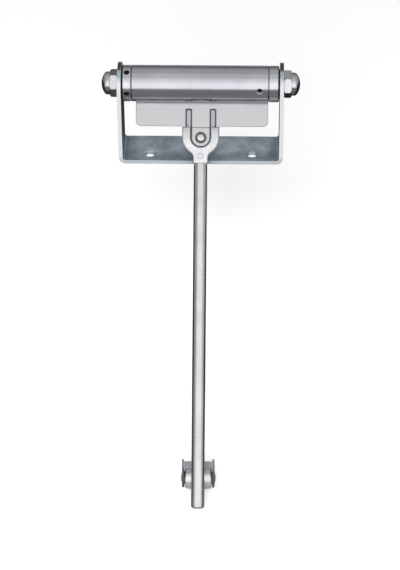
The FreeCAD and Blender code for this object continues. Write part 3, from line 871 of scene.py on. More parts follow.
@dataclass(frozen=True)
class RibbedFinish(MetalFinish):
    """Bright zinc on the cast head, with painted shade on the ribs that stand in the fin's slots,
    fading down over the fork below them.

    Attributes:
        rib_shade: Colour of the painted shade on the ribs.
        rib_foot: Where the ribs end below the barrel axis, in metres.
        fork_fade: Over what height below them their colour ends, in metres.
        rib_back: Where the ribs end behind the barrel axis, in metres.
        back_fade: Over what depth behind them their colour ends, in metres.
    """

    rib_shade: Colour = (0.56, 0.56, 0.59)
    rib_foot: float = 31.9 * MM
    fork_fade: float = 11.0 * MM
    rib_back: float = 13.3 * MM
    back_fade: float = 3.0 * MM

    def pattern(self, bench: NodeBench, smudge: bpy.types.NodeSocket) -> bpy.types.NodeSocket:
        """Gives the head's bright zinc and the painted shade on its ribs and the fork below them.

        Args:
            bench: The material in the making.
            smudge: The noise of the smudges.

        Returns:
            The colour.
        """
        places = bench.stretched(METRES, self.turned)
        foot, back = -self.rib_foot, self.rib_back
        above = bench.spread(bench.part(places, "Z"), 0.0, 1.0, foot - self.fork_fade, foot)
        before = bench.spread(bench.part(places, "Y"), 1.0, 0.0, back, back + self.back_fade)
        # Painted shade on the ribs, fading out down the fork and towards the back.
        ribs = bench.join("MULTIPLY", above, before)
        return bench.mix(ribs, super().pattern(bench, smudge), self.rib_shade)


ZINC_SHEET = ShearedFinish(
    slot="zinc_sheet",
    colour=(0.82, 0.91, 1.0),
    shade=(0.36, 0.45, 0.54),
    edge=(0.80, 0.83, 0.86),
    roughness=0.42,
    dullness=0.16,
    line_depth=0.006 * MM,
    patch=18.0 * MM,
    edge_radius=0.6 * MM,
    # Painted shadow: the base darkens within 20 mm of the head and the cheeks, where their shade
    # falls.
    gap_shade=(0.04, 0.05, 0.06),
    gap_shade_reach=20.0 * MM,
    gap_shade_clear=0.86,
    metal=0.82,
)
ARM_ZINC = ZincFinish(
    slot="zinc_sheet",
    colour=(0.42, 0.42, 0.46),
    shade=(0.28, 0.28, 0.31),
    # Dark edge colour: painted shade along the yoke's edges.
    edge=(0.16, 0.16, 0.17),
    cast=(0.30, 0.31, 0.35),
    roughness=0.30,
    dullness=0.14,
    line_depth=0.005 * MM,
    patch=6.0 * MM,
    turned=True,
)
BRIGHT_TUBE = RolledFinish(
    slot="bright_plate",
    colour=(0.84, 0.84, 0.90),
    shade=(0.74, 0.74, 0.81),
    # Dark edge colour: painted shade along the tube's and the fin's edges.
    edge=(0.30, 0.30, 0.32),
    roughness=0.15,
    dullness=0.08,
    grain=Grain.ALONG_BARREL,
    line_depth=0.0015 * MM,
    patch=22.0 * MM,
    edge_radius=0.8 * MM,
    turned=True,
)
BRIGHT_RING = MetalFinish(
    slot="bright_plate",
    colour=(0.92, 0.92, 0.96),
    shade=(0.80, 0.80, 0.85),
    edge=(0.88, 0.88, 0.90),
    roughness=0.14,
    dullness=0.08,
    grain=Grain.ROUND_BARREL,
    line_depth=0.001 * MM,
    patch=7.0 * MM,
    # Painted shade on the rings near the tube, the cheeks and the nuts.
    gap_shade=(0.13, 0.13, 0.14),
    gap_shade_reach=5.0 * MM,
    gap_shade_clear=0.46,
    turned=True,
)
HEAD_CASTING = RibbedFinish(
    slot="head_casting",
    colour=(0.94, 0.94, 0.96),
    shade=(0.83, 0.83, 0.86),
    # Dark edge colour: painted shade along the head's edges.
    edge=(0.46, 0.46, 0.48),
    roughness=0.38,
    dullness=0.12,
    metal=0.85,
    # Painted shade in the gaps round the ribs, the tongue and the bolt.
    gap_shade_reach=3.0 * MM,
    gap_shade_clear=0.88,
    line_width=0.45 * MM,
    line_depth=0.02 * MM,
    patch=5.0 * MM,
    edge_radius=0.6 * MM,
    turned=True,
)
DRAWN_ROD = MetalFinish(
    slot="drawn_rod",
    colour=(0.85, 0.85, 0.86),
    shade=(0.75, 0.75, 0.77),
    edge=(0.85, 0.85, 0.86),
    roughness=0.17,
    dullness=0.09,
    grain=Grain.ALONG_ARM,
    line_length=45.0 * MM,
    line_depth=0.0015 * MM,
    patch=14.0 * MM,
    turned=True,
)
NUT_PLATE = MetalFinish(
    slot="nut_plate",
    colour=(0.88, 0.88, 0.92),
    shade=(0.76, 0.76, 0.81),
    # Dark edge colour: painted shade along the nuts' edges.
    edge=(0.34, 0.34, 0.37),
    roughness=0.12,
    dullness=0.08,
    line_depth=0.002 * MM,
    grain=Grain.ROUND_BARREL,
    patch=6.0 * MM,
    edge_radius=0.5 * MM,
)
BOLT_STEEL = MetalFinish(
    slot="fastener_steel",
    colour=(0.96, 0.96, 0.97),
    shade=(0.82, 0.82, 0.84),
    # Dark edge colour over a wide rounding: a painted shadow ring round the bolt's head.
    edge=(0.08, 0.08, 0.09),
    roughness=0.24,
    dullness=0.12,
    patch=2.5 * MM,
    edge_radius=1.3 * MM,
    turned=True,
)
FASTENER_STEEL = MetalFinish(
    slot="fastener_steel",
    colour=(0.60, 0.61, 0.63),
    shade=(0.46, 0.47, 0.50),
    edge=(0.80, 0.80, 0.82),
    roughness=0.26,
    dullness=0.15,
    patch=4.0 * MM,
    edge_radius=0.25 * MM,
    turned=True,
)
SPRING_WIRE = MetalFinish(
    slot="spring_wire",
    colour=(0.24, 0.24, 0.25),
    shade=(0.13, 0.12, 0.12),
    edge=(0.40, 0.40, 0.41),
    roughness=0.34,
    dullness=0.20,
    patch=5.0 * MM,
    turned=True,
)
BEARING_BRONZE = MetalFinish(
    slot="bearing_bronze",
    colour=(0.64, 0.46, 0.23),
    shade=(0.46, 0.31, 0.14),
    edge=(0.78, 0.61, 0.36),
    roughness=0.33,
    dullness=0.18,
    line_width=0.3 * MM,
    line_depth=0.012 * MM,
    patch=3.0 * MM,
    edge_radius=0.2 * MM,
    turned=True,
)
ROLLER_STEEL = MetalFinish(
    slot="roller_steel",
    colour=(0.90, 0.90, 0.92),
    shade=(0.78, 0.78, 0.80),
    # Dark edge colour: painted shade at the roller's rims.
    edge=(0.16, 0.16, 0.17),
    roughness=0.28,
    dullness=0.10,
    metal=0.75,
    edge_radius=1.4 * MM,
    # Painted shade on the roller next to the yoke and the rod.
    gap_shade_reach=3.5 * MM,
    gap_shade_clear=0.72,
    grain=Grain.ROUND_BARREL,
    line_width=0.3 * MM,
    line_depth=0.003 * MM,
    patch=5.0 * MM,
    turned=True,
)


class Paintshop:
    """Keeps one material for each finish and puts it on pieces."""

    def __init__(self) -> None:
        """Starts with no material made."""
        self.made: dict[MetalFinish, bpy.types.Material] = {}

    def material(self, finish: MetalFinish) -> bpy.types.Material:
        """Makes the material of a finish once.

        Args:
            finish: The finish.

        Returns:
            Its material.
        """
        if finish not in self.made:
            self.made[finish] = finish.material()
        return self.made[finish]

    def coat(self, piece: bpy.types.Object, finish: MetalFinish) -> None:
        """Gives a piece one finish all over.

        Args:
            piece: A new piece or a node of the frame.
            finish: The finish.
        """
        material = self.material(finish)
        if not piece.material_slots:
            piece.data.materials.append(material)
        for holder in piece.material_slots:
            holder.material = material

    def coat_nodes(self, finish: MetalFinish, *names: str) -> None:
        """Gives nodes of the frame one finish.

        Args:
            finish: The finish.
            *names: Names of the nodes.
        """
        for name in names:
            self.coat(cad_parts[name], finish)
            log.info("node %s: %s", name, finish.slot)

    def fit(self, piece: bpy.types.Object, finish: MetalFinish, body: str, *nodes: str) -> None:
        """Finishes a new piece, hangs it on its body and lets it stand for nodes.

        Args:
            piece: The new piece, in place.
            finish: Its finish.
            body: The body that carries it.
            *nodes: The nodes that it stands for.
        """
        self.coat(piece, finish)
        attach(piece, body)
        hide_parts(*nodes)
        log.info("piece %s: %d faces on %s", piece.name, len(piece.data.polygons), body)


@dataclass
class WallBracket:
    """The U bracket, bent from sheet, with broken edges.

    Attributes:
        length: Length over the cheeks.
        depth: Depth of the base and the cheeks.
        sheet: Thickness of the sheet.
        cheek_rise: How far the cheeks rise above the barrel axis.
        cheek_flat: Length of the straight run on top of a cheek, between its round corners.
        bend: Inside radius of the bends.
        spindle_hole: Diameter of the holes in the cheeks.
        screw_hole: Diameter of the screw holes.
        screw_spacing: Distance between the screw holes.
        screw_setback: How far the screw holes lie in front of the middle.
        edge: Rounding of the sheet's edges.
        bend_steps: Faces round a bend.
        crown_steps: Faces round a corner of a cheek.
        spindle_sides: Faces round a hole in a cheek.
        screw_sides: Faces round a screw hole.
    """

    length: float = 123.2 * MM
    depth: float = 35.0 * MM
    sheet: float = 3.0 * MM
    cheek_rise: float = 14.5 * MM
    cheek_flat: float = 5.0 * MM
    bend: float = 2.0 * MM
    spindle_hole: float = 12.2 * MM
    screw_hole: float = 7.5 * MM
    screw_spacing: float = 77.0 * MM
    screw_setback: float = 8.0 * MM
    edge: float = 0.3 * MM
    bend_steps: int = 8
    crown_steps: int = 20
    spindle_sides: int = 64
    screw_sides: int = 48

    def folded_sheet(self) -> bpy.types.Object:
        """Folds a flat strip up at both ends and gives it its thickness.

        Returns:
            The folded sheet.
        """
        half = (self.length - self.sheet) / 2
        middle = self.sheet / 2

        def at_end(ends: Edge) -> bool:
            """Tells whether an edge lies at one end of the base."""
            same_side = ends[0].x * ends[1].x > 0
            return same_side and all(abs(abs(p.x) - half) < SAME_PLACE for p in ends)

        def at_fold(ends: Edge) -> bool:
            """Tells whether an edge lies where the strip is folded."""
            return at_end(ends) and all(abs(p.z - middle) < SAME_PLACE for p in ends)

        piece = Bench.begin(
            "bracket_sheet", bpy.ops.mesh.primitive_plane_add, size=1.0, location=(0.0, 0.0, middle)
        )
        piece.scale = (2 * half, self.depth, 1.0)
        Bench.freeze(piece)
        Bench.pick(piece, "EDGE", at_end)
        rise = ARM.axis_height + self.cheek_rise - middle
        bpy.ops.mesh.extrude_region_move(TRANSFORM_OT_translate={"value": (0.0, 0.0, rise)})
        Bench.done(piece)
        Bench.pick(piece, "EDGE", at_fold)
        bpy.ops.mesh.bevel(offset=self.bend + middle, segments=self.bend_steps, affect="EDGES")
        Bench.done(piece)
        Bench.modify(piece, "SOLIDIFY", thickness=self.sheet, offset=0.0, use_even_offset=True)
        return piece

    def round_cheeks(self, piece: bpy.types.Object) -> None:
        """Rounds the top corners of both cheeks.

        Args:
            piece: The folded sheet.
        """
        top = ARM.axis_height + self.cheek_rise

        def at_corner(ends: Edge) -> bool:
            """Tests for an edge that runs through the sheet at a top corner.

            Args:
                ends: The edge's two end points.

            Returns:
                Whether the edge is one.
            """
            run = ends[1] - ends[0]
            through = abs(run.x) > self.sheet / 2 and abs(run.y) < SAME_PLACE
            return through and all(abs(p.z - top) < SAME_PLACE for p in ends)

        Bench.pick(piece, "EDGE", at_corner)
        radius = (self.depth - self.cheek_flat) / 2
        bpy.ops.mesh.bevel(offset=radius, segments=self.crown_steps, affect="EDGES")
        Bench.done(piece)

    def drill(self, piece: bpy.types.Object) -> None:
        """Drills the spindle holes and the screw holes.

        Args:
            piece: The folded sheet.
        """
        spindle = Bench.begin(
            "spindle_drill",
            bpy.ops.mesh.primitive_cylinder_add,
            vertices=self.spindle_sides,
            radius=self.spindle_hole / 2,
            depth=2 * self.length,
            location=(0.0, 0.0, ARM.axis_height),
            rotation=(0.0, QUARTER, 0.0),
        )
        Bench.carve(piece, spindle)
        for side in (-1, 1):
            place = (side * self.screw_spacing / 2, -self.screw_setback, 0.0)
            drill = Bench.begin(
                "screw_drill",
                bpy.ops.mesh.primitive_cylinder_add,
                vertices=self.screw_sides,
                radius=self.screw_hole / 2,
                depth=4 * self.sheet,
                location=place,
            )
            Bench.carve(piece, drill)

    def build(self) -> bpy.types.Object:
        """Makes the bracket.

        Returns:
            The bracket in place.
        """
        piece = self.folded_sheet()
        Bench.finish(piece)
        self.round_cheeks(piece)
        Bench.finish(piece)
        self.drill(piece)
        Bench.break_edges(piece, self.edge)
        Bench.finish(piece)
        return piece

    def dress(self, shop: Paintshop) -> None:
        """Builds the bracket and hangs it in place of its node."""
        shop.fit(self.build(), ZINC_SHEET, "bracket", "mounting_bracket")


@dataclass
class SpindleStack:
    """The spindle with its cap nuts and washers."""

    def dress(self, shop: Paintshop) -> None:
        """Finishes the nodes of the stack.

        Args:
            shop: The paintshop.
        """
        shop.coat_nodes(NUT_PLATE, "left_cap_nut", "right_cap_nut")
        shop.coat_nodes(FASTENER_STEEL, "spindle", "collar_washer")
        shop.coat_nodes(BEARING_BRONZE, "thrust_washer")


@dataclass
class SpringBarrel:
    """The rolled barrel with its rings, bush and torsion spring.

    Attributes:
        coil_radius: Radius of the coil at the middle of the wire.
        wire: Thickness of the wire.
        turns: Number of turns.
        coil_start: Where the coil starts along the barrel.
        coil_length: Length of the coil.
        bend: Radius of the bend from the coil into a leg.
        leg: Length of each leg beyond its bend.
        wire_sides: Faces round the wire.
        turn_steps: Faces along one turn.
        bend_steps: Faces along a bend.
        grip: How far from the middle of the wire its end is taken hold of, in wire radii.
        smooth_angle: Sharpest angle that is smoothed, in degrees.
    """

    coil_radius: float = 8.35 * MM
    wire: float = 4.0 * MM
    turns: int = 10
    coil_start: float = -36.5 * MM
    coil_length: float = 72.4 * MM
    bend: float = 2.6 * MM
    leg: float = 6.5 * MM
    wire_sides: int = 14
    turn_steps: int = 36
    bend_steps: int = 7
    grip: float = 1.02
    smooth_angle: float = 60.0

    def coil_end(self) -> float:
        """Returns where the coil ends along the barrel."""
        return self.coil_start + self.coil_length

    def leg_turn(self) -> float:
        """Returns how far a leg lies round the barrel from the end of the coil, in radians."""
        return math.atan2(self.bend, self.coil_radius)

    def wound_coil(self) -> bpy.types.Object:
        """Winds one ring of wire into the coil, about the barrel axis.

        Returns:
            The coil.
        """
        coil = Bench.begin(
            "wound_spring",
            bpy.ops.mesh.primitive_circle_add,
            vertices=self.wire_sides,
            radius=self.wire / 2,
            fill_type="NOTHING",
            location=(self.coil_start, 0.0, self.coil_radius),
            rotation=(QUARTER, 0.0, 0.0),
        )
        Bench.freeze(coil)
        Bench.modify(
            coil,
            "SCREW",
            axis="X",
            angle=2 * math.pi - 2 * self.leg_turn() / self.turns,
            screw_offset=self.coil_length / self.turns,
            iterations=self.turns,
            steps=self.turn_steps,
            render_steps=self.turn_steps,
            use_smooth_shade=True,
        )
        return coil

    def pull_leg(self, coil: bpy.types.Object, side: int) -> None:
        """Bends one end of the coil round and pulls a straight leg out of it.

        Args:
            coil: The coil.
            side: -1 for the collar's end, 1 for the plug's end.
        """
        end_x = self.coil_start if side < 0 else self.coil_end()
        turn = 0.0 if side < 0 else -2 * self.leg_turn()
        across = Vector((0.0, -math.sin(turn), math.cos(turn)))
        middle = Vector((end_x, 0.0, 0.0)) + across * self.coil_radius
        reach = self.wire / 2 * self.grip
        forward = Vector((0.0, -math.cos(turn), -math.sin(turn)))

        def at_cut(vertex: bpy.types.MeshVertex) -> bool:
            """Tells whether a vertex lies on the cut end of the wire."""
            offset = vertex.co - middle
            return offset.length < reach and abs(offset @ forward) < SAME_PLACE

        Bench.pick(coil, "VERT", at_cut)
        bpy.ops.mesh.spin(
            steps=self.bend_steps,
            angle=QUARTER,
            center=middle + Vector((side * self.bend, 0.0, 0.0)),
            axis=across,
            dupli=False,
            use_auto_merge=False,
        )
        run = (side * self.leg, 0.0, 0.0)
        bpy.ops.mesh.extrude_region_move(TRANSFORM_OT_translate={"value": run})
        bpy.ops.mesh.edge_face_add()
        Bench.done(coil)

    def build_spring(self) -> bpy.types.Object:
        """Makes the spring with its two legs.

        Returns:
            The spring in place.
        """
        spring = self.wound_coil()
        for side in (-1, 1):
            self.pull_leg(spring, side)
        spring.rotation_euler = (self.leg_turn(), 0.0, 0.0)
        Bench.freeze(spring)
        Bench.to_arm(spring)
        Bench.finish(spring, self.smooth_angle)
        return spring

    def dress(self, shop: Paintshop) -> None:
        """Finishes the nodes of the barrel and fits the spring.

        Args:
            shop: The paintshop.
        """
        shop.coat_nodes(BRIGHT_TUBE, "barrel_shell")
        shop.coat_nodes(BRIGHT_RING, "tension_collar", "barrel_end_plug")
        shop.coat_nodes(BEARING_BRONZE, "plug_bush")
        spring = self.build_spring()
        shop.coat(spring, SPRING_WIRE)
        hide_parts("torsion_spring")
        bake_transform(spring)
        log.info("piece %s: %d faces", spring.name, len(spring.data.polygons))


@dataclass
class ClampedHead:
    """The arm head with its bolt, washer, nut and pin.

    Attributes:
        reach: How far the clamp bolt lies below the barrel axis.
        bolt_radius: Radius of the bolt's shank.
        bolt_head: Radius of the bolt's head.
        bolt_rim: Where the rim of the bolt's head starts, from front to back.
        bolt_seat: Where the bolt's head ends and its shank starts.
        bolt_tail: Where the bolt's shank ends.
        bolt_chamfer: Chamfer of the bolt's tail.
        crown_steps: How far in and how far out each step of the bolt's crown goes.
        nut_flats: Width of the nut across its flats.
        nut_start: Where the nut starts.
        nut_height: Height of the nut.
        nut_chamfer: Chamfer of the nut's corners.
        nut_bore: Radius of the nut's bore.
        edge: Rounding of sharp edges.
        edge_angle: Sharpest angle of the nut that is left alone, in degrees.
        round_sides: Faces round the bolt and the nut's bore.
        nut_sides: Flats of the nut.
        trim_sides: Faces round the solid that chamfers the nut.
    """

    reach: float = 39.3 * MM
    bolt_radius: float = 2.0 * MM
    bolt_head: float = 3.0 * MM
    bolt_rim: float = 13.0 * MM
    bolt_seat: float = 14.0 * MM
    bolt_tail: float = 23.5 * MM
    bolt_chamfer: float = 0.3 * MM
    crown_steps: tuple[Span, ...] = (
        (0.5 * MM, 0.25 * MM),
        (0.7 * MM, 0.2 * MM),
        (0.8 * MM, 0.1 * MM),
    )
    nut_flats: float = 7.0 * MM
    nut_start: float = 19.3 * MM
    nut_height: float = 3.2 * MM
    nut_chamfer: float = 0.6 * MM
    nut_bore: float = 2.05 * MM
    edge: float = 0.1 * MM
    edge_angle: float = 25.0
    round_sides: int = 48
    nut_sides: int = 6
    trim_sides: int = 64

    def build_bolt(self) -> bpy.types.Object:
        """Makes the round-headed bolt.

        Returns:
            The bolt in place.
        """
        rim, seat = self.bolt_rim, self.bolt_seat
        bolt = Bench.bar(
            "round_head_bolt", self.round_sides, self.bolt_head, rim, seat, self.reach
        )
        Bench.pick_end(bolt, 1)
        bpy.ops.mesh.inset(thickness=self.bolt_head - self.bolt_radius, depth=0.0)
        run = self.bolt_tail - self.bolt_chamfer - seat
        bpy.ops.mesh.extrude_region_move(TRANSFORM_OT_translate={"value": (0.0, run, 0.0)})
        bpy.ops.mesh.inset(thickness=self.bolt_chamfer, depth=self.bolt_chamfer)
        Bench.done(bolt)
        Bench.pick_end(bolt, -1)
        for inwards, outwards in self.crown_steps:
            bpy.ops.mesh.inset(thickness=inwards, depth=outwards)
        Bench.done(bolt)
        Bench.to_arm(bolt)
        Bench.finish(bolt)
        return bolt

    def build_nut(self) -> bpy.types.Object:
        """Makes the hexagon nut with its corners chamfered.

        Returns:
            The nut in place.
        """
        corner = self.nut_flats / math.sqrt(3)
        start, height = self.nut_start, self.nut_height
        end = start + height
        nut = Bench.bar("clamp_hexagon", self.nut_sides, corner, start, end, self.reach)
        trim = Bench.bar("nut_trim", self.trim_sides, corner, start, end, self.reach)
        Bench.pick_rims(trim, start, end)
        bpy.ops.mesh.bevel(offset=self.nut_chamfer, segments=1, affect="EDGES")
        Bench.done(trim)
        Bench.carve(nut, trim, Way.KEEP)
        drill = Bench.bar(
            "nut_drill", self.round_sides, self.nut_bore, start - height, end + height, self.reach
        )
        Bench.carve(nut, drill)
        Bench.break_edges(nut, self.edge, self.edge_angle)
        Bench.to_arm(nut)
        Bench.finish(nut)
        return nut

    def dress(self, shop: Paintshop) -> None:
        """Finishes the nodes of the head and fits the bolt and the nut.

        Args:
            shop: The paintshop.
        """
        shop.coat_nodes(HEAD_CASTING, "arm_head", "rod_lock_pin")
        shop.coat_nodes(FASTENER_STEEL, "clamp_washer")
        shop.fit(self.build_bolt(), BOLT_STEEL, "swing_arm", "clamp_bolt")
        shop.fit(self.build_nut(), FASTENER_STEEL, "swing_arm", "clamp_nut")


@dataclass
class RollerArm:
    """The arm rod with the yoke, axle and roller near its end.

    Attributes:
        screw_reach: How far the yoke screw lies below the barrel axis.
        screw_radius: Radius of the screw's shank.
        screw_tip: Where the screw's point ends, inside the rod.
        screw_seat: Where the screw's head starts, on the yoke.
        screw_top: Where the screw's head ends.
        head_radius: Radius of the screw's head.
        head_round: Rounding of the screw's head.
        point: Length of the screw's point.
        recess_length: Length of each arm of the cross recess.
        recess_width: Width of each arm of the cross recess.
        recess_depth: Depth of the cross recess.
        edge: Rounding of sharp edges.
        edge_angle: Sharpest angle of the screw that is left alone, in degrees.
        screw_sides: Faces round the screw.
        round_steps: Faces across the rounding of the screw's head.
    """

    screw_reach: float = 285.3 * MM
    screw_radius: float = 1.5 * MM
    screw_tip: float = 12.6 * MM
    screw_seat: float = 19.6 * MM
    screw_top: float = 21.4 * MM
    head_radius: float = 2.5 * MM
    head_round: float = 0.85 * MM
    point: float = 0.4 * MM
    recess_length: float = 2.9 * MM
    recess_width: float = 0.65 * MM
    recess_depth: float = 1.0 * MM
    edge: float = 0.06 * MM
    edge_angle: float = 50.0
    screw_sides: int = 40
    round_steps: int = 5

    def cut_recess(self, screw: bpy.types.Object) -> None:
        """Cuts the cross recess into the screw's head.

        Args:
            screw: The screw, in the arm's own axes.
        """
        for turn in (0.0, QUARTER):
            arm = Bench.begin(
                "recess_arm",
                bpy.ops.mesh.primitive_cube_add,
                size=1.0,
                location=(0.0, self.screw_top, -self.screw_reach),
                rotation=(0.0, turn, 0.0),
            )
            arm.scale = (self.recess_length, 2 * self.recess_depth, self.recess_width)
            Bench.freeze(arm)
            Bench.carve(screw, arm)

    def build_screw(self) -> bpy.types.Object:
        """Makes the pan-head screw behind the yoke.

        Returns:
            The screw in place.
        """
        seat, top = self.screw_seat, self.screw_top
        screw = Bench.bar(
            "pan_head_screw", self.screw_sides, self.head_radius, seat, top, self.screw_reach
        )
        Bench.pick_rims(screw, top)
        bpy.ops.mesh.bevel(offset=self.head_round, segments=self.round_steps, affect="EDGES")
        Bench.done(screw)
        Bench.pick_end(screw, -1)
        bpy.ops.mesh.inset(thickness=self.head_radius - self.screw_radius, depth=0.0)
        run = self.screw_tip + self.point - seat
        bpy.ops.mesh.extrude_region_move(TRANSFORM_OT_translate={"value": (0.0, run, 0.0)})
        bpy.ops.mesh.inset(thickness=self.point, depth=self.point)
        Bench.done(screw)
        self.cut_recess(screw)
        Bench.break_edges(screw, self.edge, self.edge_angle, steps=1)
        Bench.to_arm(screw)
        Bench.finish(screw)
        return screw

    def dress(self, shop: Paintshop) -> None:
        """Finishes the nodes of the arm and fits the screw.

        Args:
            shop: The paintshop.
        """
        shop.coat_nodes(DRAWN_ROD, "arm_rod")
        shop.coat_nodes(ARM_ZINC, "roller_yoke")
        shop.coat_nodes(FASTENER_STEEL, "roller_axle", "axle_washers")
        shop.coat_nodes(ROLLER_STEEL, "door_roller")
        shop.coat_nodes(BEARING_BRONZE, "roller_bush")
        shop.fit(self.build_screw(), FASTENER_STEEL, "swing_arm", "yoke_screw")


@dataclass(frozen=True)
class GlowCard:
    """A glowing card beside the object that shows in reflections on its metal and nowhere else.

    Attributes:
        ARCH_RADIUS: Radius of the arch that overhead cards lie along, in metres.
        ARCH_LENGTH: Length of the arch along the barrel, in metres.
        name: Name of the card.
        middle: Its middle, in metres.
        size: Its two sides, in metres.
        turn: Its turn from lying flat, in degrees.
        level: How brightly it glows.
    """

    ARCH_RADIUS: ClassVar[float] = 1.3
    ARCH_LENGTH: ClassVar[float] = 2.6

    name: str
    middle: Point
    size: Span
    turn: Point
    level: float

    @classmethod
    def overhead(cls, name: str, start: float, end: float, level: float) -> "GlowCard":
        """Lays a card along the barrel, over part of a wide arch round it.

        Args:
            name: Name of the card.
            start: Where it starts, in degrees up from straight in front.
            end: Where it ends.
            level: How light it is.

        Returns:
            The card.
        """
        first, last = (
            Vector((0.0, -math.cos(angle), math.sin(angle))) * cls.ARCH_RADIUS
            for angle in (math.radians(start), math.radians(end))
        )
        chord = last - first
        middle = (first + last) / 2 + Vector((0.0, 0.0, ARM.axis_height))
        turn = math.degrees(math.atan2(chord.z, chord.y))
        size = (cls.ARCH_LENGTH, chord.length)
        return cls(name, tuple(middle), size, (turn, 0.0, 0.0), level)

    def build(self) -> None:
        """Puts the card up."""
        card = Bench.begin(
            self.name,
            bpy.ops.mesh.primitive_plane_add,
            size=1.0,
            location=self.middle,
            rotation=tuple(math.radians(a) for a in self.turn),
        )
        card.scale = (*self.size, 1.0)
        Bench.freeze(card)
        material = bpy.data.materials.new(self.name)
        material.use_nodes = True
        tree = material.node_tree
        tree.nodes.clear()
        # The card glows, though it is no lamp, and only reflections on the metal show it.
        glow = tree.nodes.new("ShaderNodeEmission")
        glow.inputs["Color"].default_value = grey(self.level)
        output = tree.nodes.new("ShaderNodeOutputMaterial")
        tree.links.new(glow.outputs["Emission"], output.inputs["Surface"])
        card.data.materials.append(material)
        for ray in ("camera", "diffuse", "shadow", "transmission"):
            setattr(card, "visible_" + ray, False)


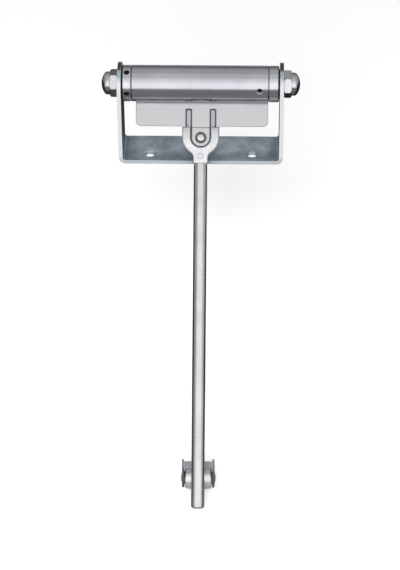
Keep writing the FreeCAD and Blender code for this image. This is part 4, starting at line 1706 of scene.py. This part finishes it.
@dataclass
class Studio:
    """A pale floor under soft light, with glowing cards round the object that show only in
    reflections on its metal.

    Attributes:
        floor_height: Height of the floor.
        floor_size: Side of the floor.
        floor_grey: Colour of the floor.
        floor_roughness: Roughness of the floor.
        floor_lift: What the floor adds to its own light where it is seen.
        ambient: Light from all round on dull surfaces.
        lamp_place: Where the main lamp stands.
        lamp_side: Side of the main lamp.
        lamp_power: Power of the main lamp, in watts.
        aim: The point that the lamp shines at.
        cards: The glowing cards.
    """

    floor_height: float = -213.0 * MM
    floor_size: float = 40.0
    floor_grey: float = 0.92
    floor_roughness: float = 0.9
    floor_lift: float = 0.22
    ambient: float = 0.54
    lamp_place: Point = (-0.10, -1.50, 1.08)
    lamp_side: float = 0.8
    lamp_power: float = 36.0
    aim: Point = (0.0, -0.06, -0.05)
    cards: tuple[GlowCard, ...] = field(
        default_factory=lambda: (
            GlowCard("card_below", (0.0, -0.65, -0.2125), (2.4, 3.9), LYING, 0.17),
            GlowCard("card_below_back", (0.0, 2.045, -0.2120), (6.0, 4.15), LYING, 0.02),
            GlowCard("card_below_near", (0.0, -0.07, -0.2115), (0.15, 0.08), LYING, 0.36),
            GlowCard("card_below_left", (-0.35, -0.115, -0.2118), (0.55, 0.17), LYING, 0.03),
            GlowCard("card_below_right", (0.35, -0.115, -0.2118), (0.55, 0.17), LYING, 0.03),
            GlowCard.overhead("card_front", 33.0, 47.0, 0.84),
            GlowCard.overhead("card_front_high", 47.0, 62.0, 0.70),
            GlowCard.overhead("card_over_front", 62.0, 95.0, 0.50),
            GlowCard.overhead("card_over_back", 95.0, 132.0, 0.36),
            GlowCard.overhead("card_behind_high", 132.0, 151.0, 0.24),
            GlowCard.overhead("card_behind", 151.0, 178.0, 0.11),
            GlowCard("card_left", (-1.1, 0.32, 0.55), (1.75, 1.5), UPRIGHT, 0.30),
            GlowCard("card_left_front", (-1.1, -0.85, 0.75), (0.55, 1.9), UPRIGHT, 0.50),
            GlowCard("card_right", (1.1, 0.45, 0.55), (1.5, 1.5), UPRIGHT, 0.38),
            GlowCard("card_right_front", (1.1, -0.60, 0.75), (0.55, 1.9), UPRIGHT, 0.55),
        )
    )

    def seen(self, tree: bpy.types.NodeTree) -> bpy.types.NodeSocket:
        """Tells rays that show a surface from rays that only light one.

        Args:
            tree: The nodes of the material or the world.

        Returns:
            1 for rays from the camera, from metal and through glass, otherwise 0.
        """
        path = tree.nodes.new("ShaderNodeLightPath")
        total = path.outputs["Is Camera Ray"]
        for name in ("Is Glossy Ray", "Is Transmission Ray"):
            node = tree.nodes.new("ShaderNodeMath")
            node.operation = "MAXIMUM"
            tree.links.new(total, node.inputs[0])
            tree.links.new(path.outputs[name], node.inputs[1])
            total = node.outputs["Value"]
        return total

    def build_world(self) -> None:
        """Makes the world white where it is seen and softer where it only lights."""
        world = bpy.data.worlds.new("studio")
        world.use_nodes = True
        tree = world.node_tree
        tree.nodes.clear()
        level = tree.nodes.new("ShaderNodeMapRange")
        level.inputs["To Min"].default_value = self.ambient
        level.inputs["To Max"].default_value = 1.0
        tree.links.new(self.seen(tree), level.inputs["Value"])
        glow = tree.nodes.new("ShaderNodeBackground")
        glow.inputs["Color"].default_value = grey(1.0)
        tree.links.new(level.outputs["Result"], glow.inputs["Strength"])
        output = tree.nodes.new("ShaderNodeOutputWorld")
        tree.links.new(glow.outputs["Background"], output.inputs["Surface"])
        bpy.context.scene.world = world

    def build_floor(self) -> None:
        """Lays a pale floor that is white where it is lit and keeps the shadow."""
        floor = Bench.begin(
            "floor",
            bpy.ops.mesh.primitive_plane_add,
            size=self.floor_size,
            location=(0.0, 0.0, self.floor_height),
        )
        Bench.freeze(floor)
        material = bpy.data.materials.new("pale_floor")
        material.use_nodes = True
        tree = material.node_tree
        shader = tree.nodes["Principled BSDF"]
        shader.inputs["Base Color"].default_value = grey(self.floor_grey)
        shader.inputs["Roughness"].default_value = self.floor_roughness
        shader.inputs["Specular IOR Level"].default_value = 0.0
        shader.inputs["Emission Color"].default_value = grey(1.0)
        lift = tree.nodes.new("ShaderNodeMapRange")
        lift.inputs["To Max"].default_value = self.floor_lift
        tree.links.new(self.seen(tree), lift.inputs["Value"])
        tree.links.new(lift.outputs["Result"], shader.inputs["Emission Strength"])
        floor.data.materials.append(material)

    def build_lamp(self) -> None:
        """Hangs one large soft lamp beside the camera."""
        Bench.clear()
        bpy.ops.object.light_add(type="AREA", location=self.lamp_place)
        lamp = bpy.context.object
        lamp.name = "soft_lamp"
        lamp.data.shape = "SQUARE"
        lamp.data.size = self.lamp_side
        lamp.data.energy = self.lamp_power
        line = Vector(self.aim) - Vector(self.lamp_place)
        lamp.rotation_euler = line.to_track_quat("-Z", "Y").to_euler()
        lamp.visible_glossy = False

    def build(self) -> None:
        """Sets the studio up."""
        self.build_world()
        self.build_floor()
        self.build_lamp()
        for card in self.cards:
            card.build()
        log.info("studio with %d cards", len(self.cards))


@dataclass
class Viewpoint:
    """The camera, at the photograph's angle.

    Attributes:
        azimuth: Turn to the right of straight in front, in degrees.
        elevation: Height above the horizon, in degrees.
        roll: Turn of the picture, in degrees.
        distance: Distance from the point looked at.
        target: The point in the middle of the picture.
        focal: Focal length, in pixels.
        picture_height: Height of the photograph, in pixels.
        sensor: Height of the sensor, in millimetres.
        far: How far the camera sees, in metres.
    """

    azimuth: float = 1.665
    elevation: float = 36.379
    roll: float = -0.482
    distance: float = 1.615121
    target: Point = (-0.000116, -0.060, -0.081539)
    focal: float = 2128.10
    picture_height: float = 570.0
    sensor: float = 24.0
    far: float = 100.0

    def build(self) -> None:
        """Places the camera and makes it the scene's own."""
        turn = math.radians(self.azimuth)
        lift = math.radians(self.elevation)
        forward = Vector(
            (-math.sin(turn) * math.cos(lift), math.cos(turn) * math.cos(lift), -math.sin(lift))
        )
        Bench.clear()
        bpy.ops.object.camera_add(location=Vector(self.target) - forward * self.distance)
        camera = bpy.context.object
        camera.name = "viewpoint"
        level = forward.to_track_quat("-Z", "Y").to_matrix()
        roll = Matrix.Rotation(math.radians(self.roll), 3, "Z")
        camera.rotation_euler = (level @ roll).to_euler()
        camera.data.sensor_fit = "VERTICAL"
        camera.data.sensor_height = self.sensor
        camera.data.lens = self.focal / self.picture_height * self.sensor
        camera.data.clip_end = self.far
        bpy.context.scene.camera = camera


def main() -> None:
    """Dresses the door closer, sets up the studio and places the camera."""
    logging.basicConfig(level=logging.INFO, format="%(name)s: %(message)s")
    shop = Paintshop()
    for assembly in (WallBracket(), SpindleStack(), SpringBarrel(), ClampedHead(), RollerArm()):
        assembly.dress(shop)
    Studio().build()
    Viewpoint().build()
    bpy.context.scene.view_settings.view_transform = "Standard"


if __name__ == "__main__":
    main()
